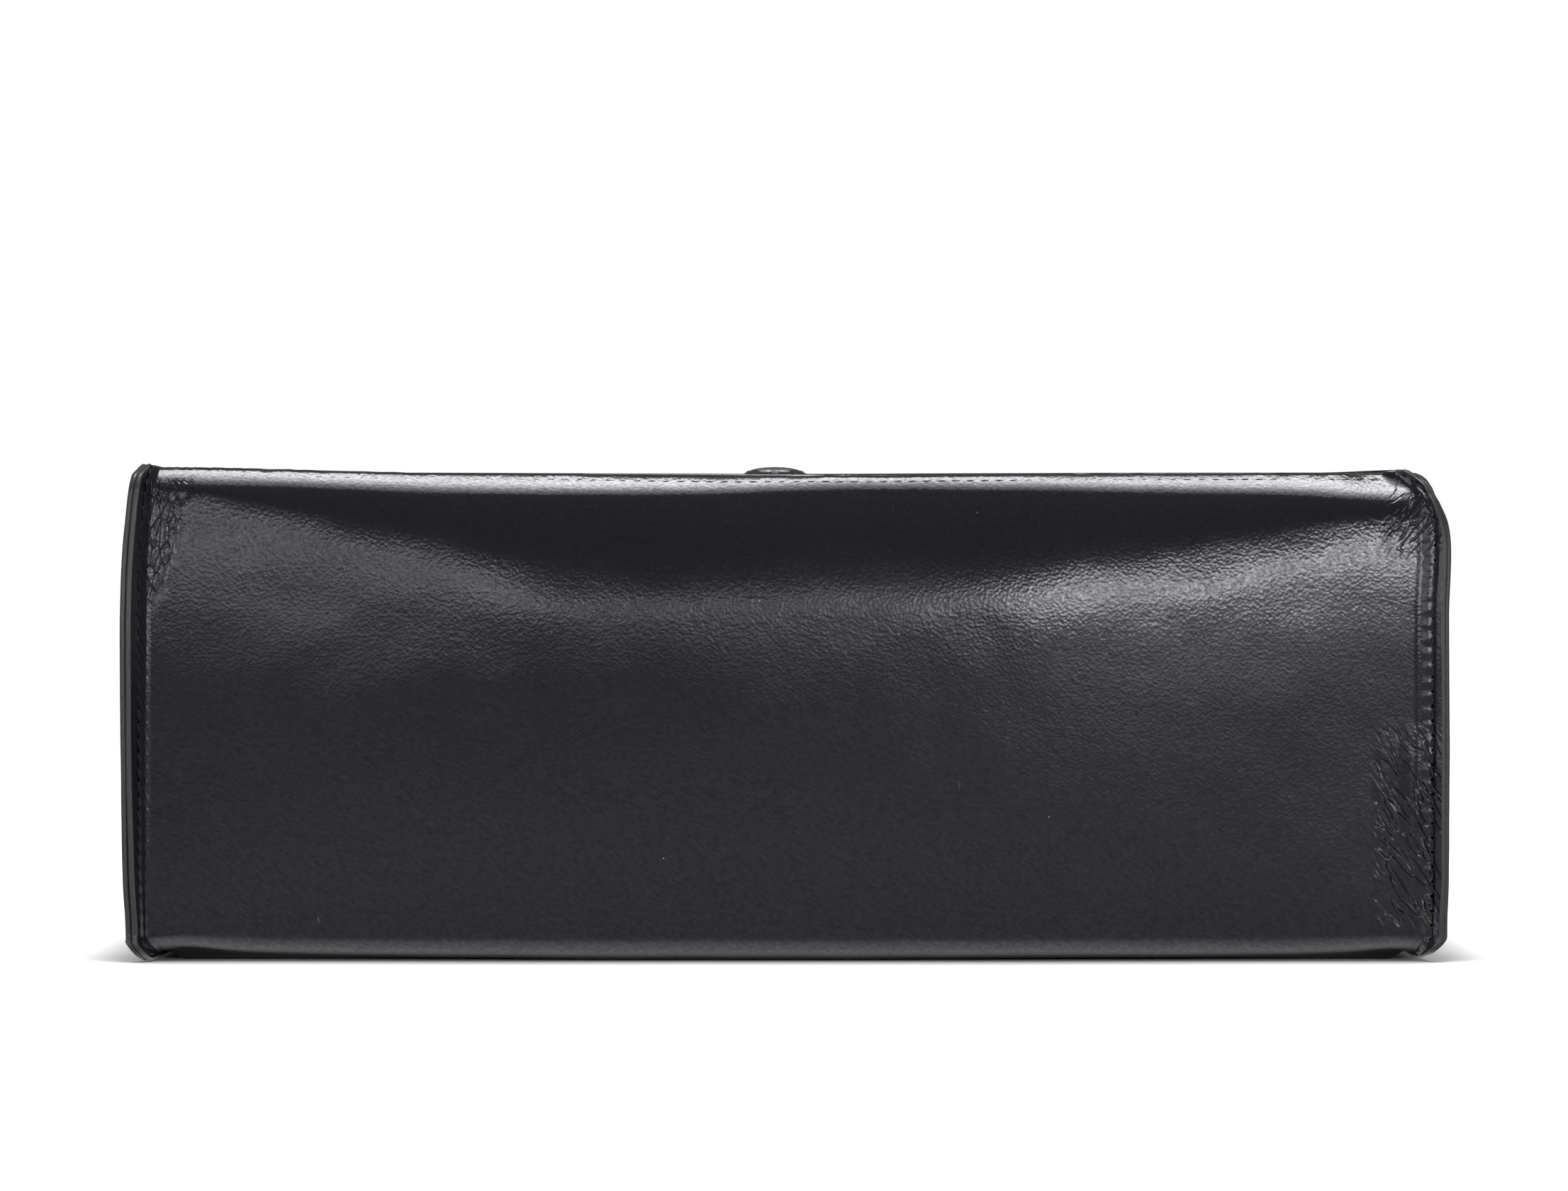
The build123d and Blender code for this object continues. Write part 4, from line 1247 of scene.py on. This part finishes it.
# the room's grey from straight down (0) to straight up (1); the camera sees plain white
stops = ((0.0, 0.6), (0.49, 0.28), (0.535, 0.25), (0.56, 0.20), (0.62, 0.18), (0.75, 0.18), (0.90, 0.34), (1.0, 0.5))
up = value(wt, "SeparateXYZ", "Z", value(wt, "TexCoord", "Generated"))
room = node(wt, "ValToRGB", Fac=value(wt, "MapRange", "Result", Value=up, From_Min=-1.0))
while len(room.color_ramp.elements) < len(stops):
    room.color_ramp.elements.new(0.5)
for element, (at, grey) in zip(room.color_ramp.elements, stops):
    element.position = at
    element.color = (grey, grey, grey, 1)
lit = value(wt, "Background", 0, Color=Val(room.outputs["Color"]))
seen = value(wt, "Background", 0, Color=(1, 1, 1, 1), Strength=1.0)
mix = value(wt, "MixShader", 0, value(wt, "LightPath", "Is Camera Ray"), lit, seen)
node(wt, "OutputWorld", Surface=mix)

FLOOR_HALF = 40.0
floor_mesh = bpy.data.meshes.new("floor")
floor_mesh.from_pydata([(x * FLOOR_HALF, y * FLOOR_HALF, 0) for x, y in ((-1, -1), (1, -1), (1, 1), (-1, 1))], [],
                       [(0, 1, 2, 3)])
floor = new_object("floor", floor_mesh)
# pale paper: glowing white to the camera, with a painted contact shadow where ambient occlusion finds the case close;
# to reflections its colour is dimmed, with a painted glowing pool of light near the case
fm, ft, fb = new_material("floor_paper", (0.86, 0.86, 0.86), 0.9, 0.1)
rays = node(ft, "LightPath")
camera_ray, glossy_ray = Val(rays.outputs["Is Camera Ray"]), Val(rays.outputs["Is Glossy Ray"])
open_sky = value(ft, "AmbientOcclusion", "AO", samples=16, Distance=0.040)
# camera-ray glow cut down by ambient occlusion: painted contact shadow on the floor
floor_glow_painted_contact_shadow = camera_ray * open_sky.span(0.52, 0.99, 0.0, 0.85)
# reflection-only glow in a band close to the case: a painted pool of light, seen in the case's lower wall
painted_glow_pool_near_case = open_sky.span(0.10, 0.34) * open_sky.span(0.43, 0.67, 1.6, 0.0)
# the floor's colour is darker to reflections than to the camera: painted shade in reflections
dimmed = glossy_ray.span(0.0, 1.0, 0.86, 0.48, "LINEAR")
feed(fb, Emission_Color=(1, 1, 1, 1), Base_Color=value(ft, "CombineColor", 0, dimmed, dimmed, dimmed),
     Emission_Strength=floor_glow_painted_contact_shadow.math("MAXIMUM", glossy_ray * painted_glow_pool_near_case))
floor_mesh.materials.append(fm)

RIGHT, LEFT = (0.1, -0.15, 0.1), (-0.1, -0.15, 0.1)
MIDDLE = (0.0, -0.15, 0.1)
for name, where, look, size, radiance in (
        ("top_rear", (0.0, -0.080, 1.25), (0, -0.080, 0.13), (0.76, 0.15), 18.0),
        ("top_middle", (0.0, -0.234, 1.25), (0, -0.234, 0.13), (0.76, 0.157), 9.0),
        ("top_front", (0.0, -0.416, 1.25), (0, -0.416, 0.13), (0.76, 0.207), 4.0),
        ("top_far", (0.0, -0.685, 1.25), (0, -0.685, 0.13), (0.76, 0.33), 1.8),
        ("front_strip", (0.40, -2.6, 0.47), RIGHT, (0.62, 0.17), 8.0),
        ("front_corner", (0.47, -2.6, 0.49), RIGHT, (0.32, 0.13), 14.0),
        ("front_fill", (-0.18, -2.6, 0.475), LEFT, (0.54, 0.19), 1.5),
        ("fill_end", (-0.44, -2.6, 0.48), LEFT, (0.44, 0.20), 1.9),
        ("fill_upper", (-0.42, -2.6, 0.55), LEFT, (0.44, 0.07), 6.0),
        ("left_softbox", (-2.3, -1.4, 0.55), MIDDLE, (1.3, 0.9), 1.7),
        ("right_softbox", (2.3, -1.7, 0.55), MIDDLE, (1.3, 0.9), 1.9),
        ("left_glance", (-1.30, -2.35, 0.45), (-0.17, -0.16, 0.11), (1.1, 0.44), 6.0),
        ("right_glance", (1.55, -2.25, 0.40), (0.17, -0.16, 0.06), (0.8, 0.50), 6.0),
        ("side_fill", (0.66, -2.55, 0.14), RIGHT, (0.8, 0.42), 1.05)):
    area_light(name, where, look, size, radiance)

cam_data = bpy.data.cameras.new("camera")
cam = new_object("camera", cam_data)
bpy.context.scene.camera = cam
DISTANCE = 1.55                  # metres from the hinge wall's face
VIEW_WIDTH = 431.6               # millimetres across the frame at the hinge wall
FACE_Y = (REAR - 2.0) * MM
cam.location = (-0.0003, FACE_Y - DISTANCE, 0.101)
cam.rotation_euler = (math.radians(90), 0, 0)
cam_data.sensor_width = 36.0
cam_data.lens = 36.0 * DISTANCE / (VIEW_WIDTH * MM)
bpy.context.scene.view_settings.view_transform = "Standard"
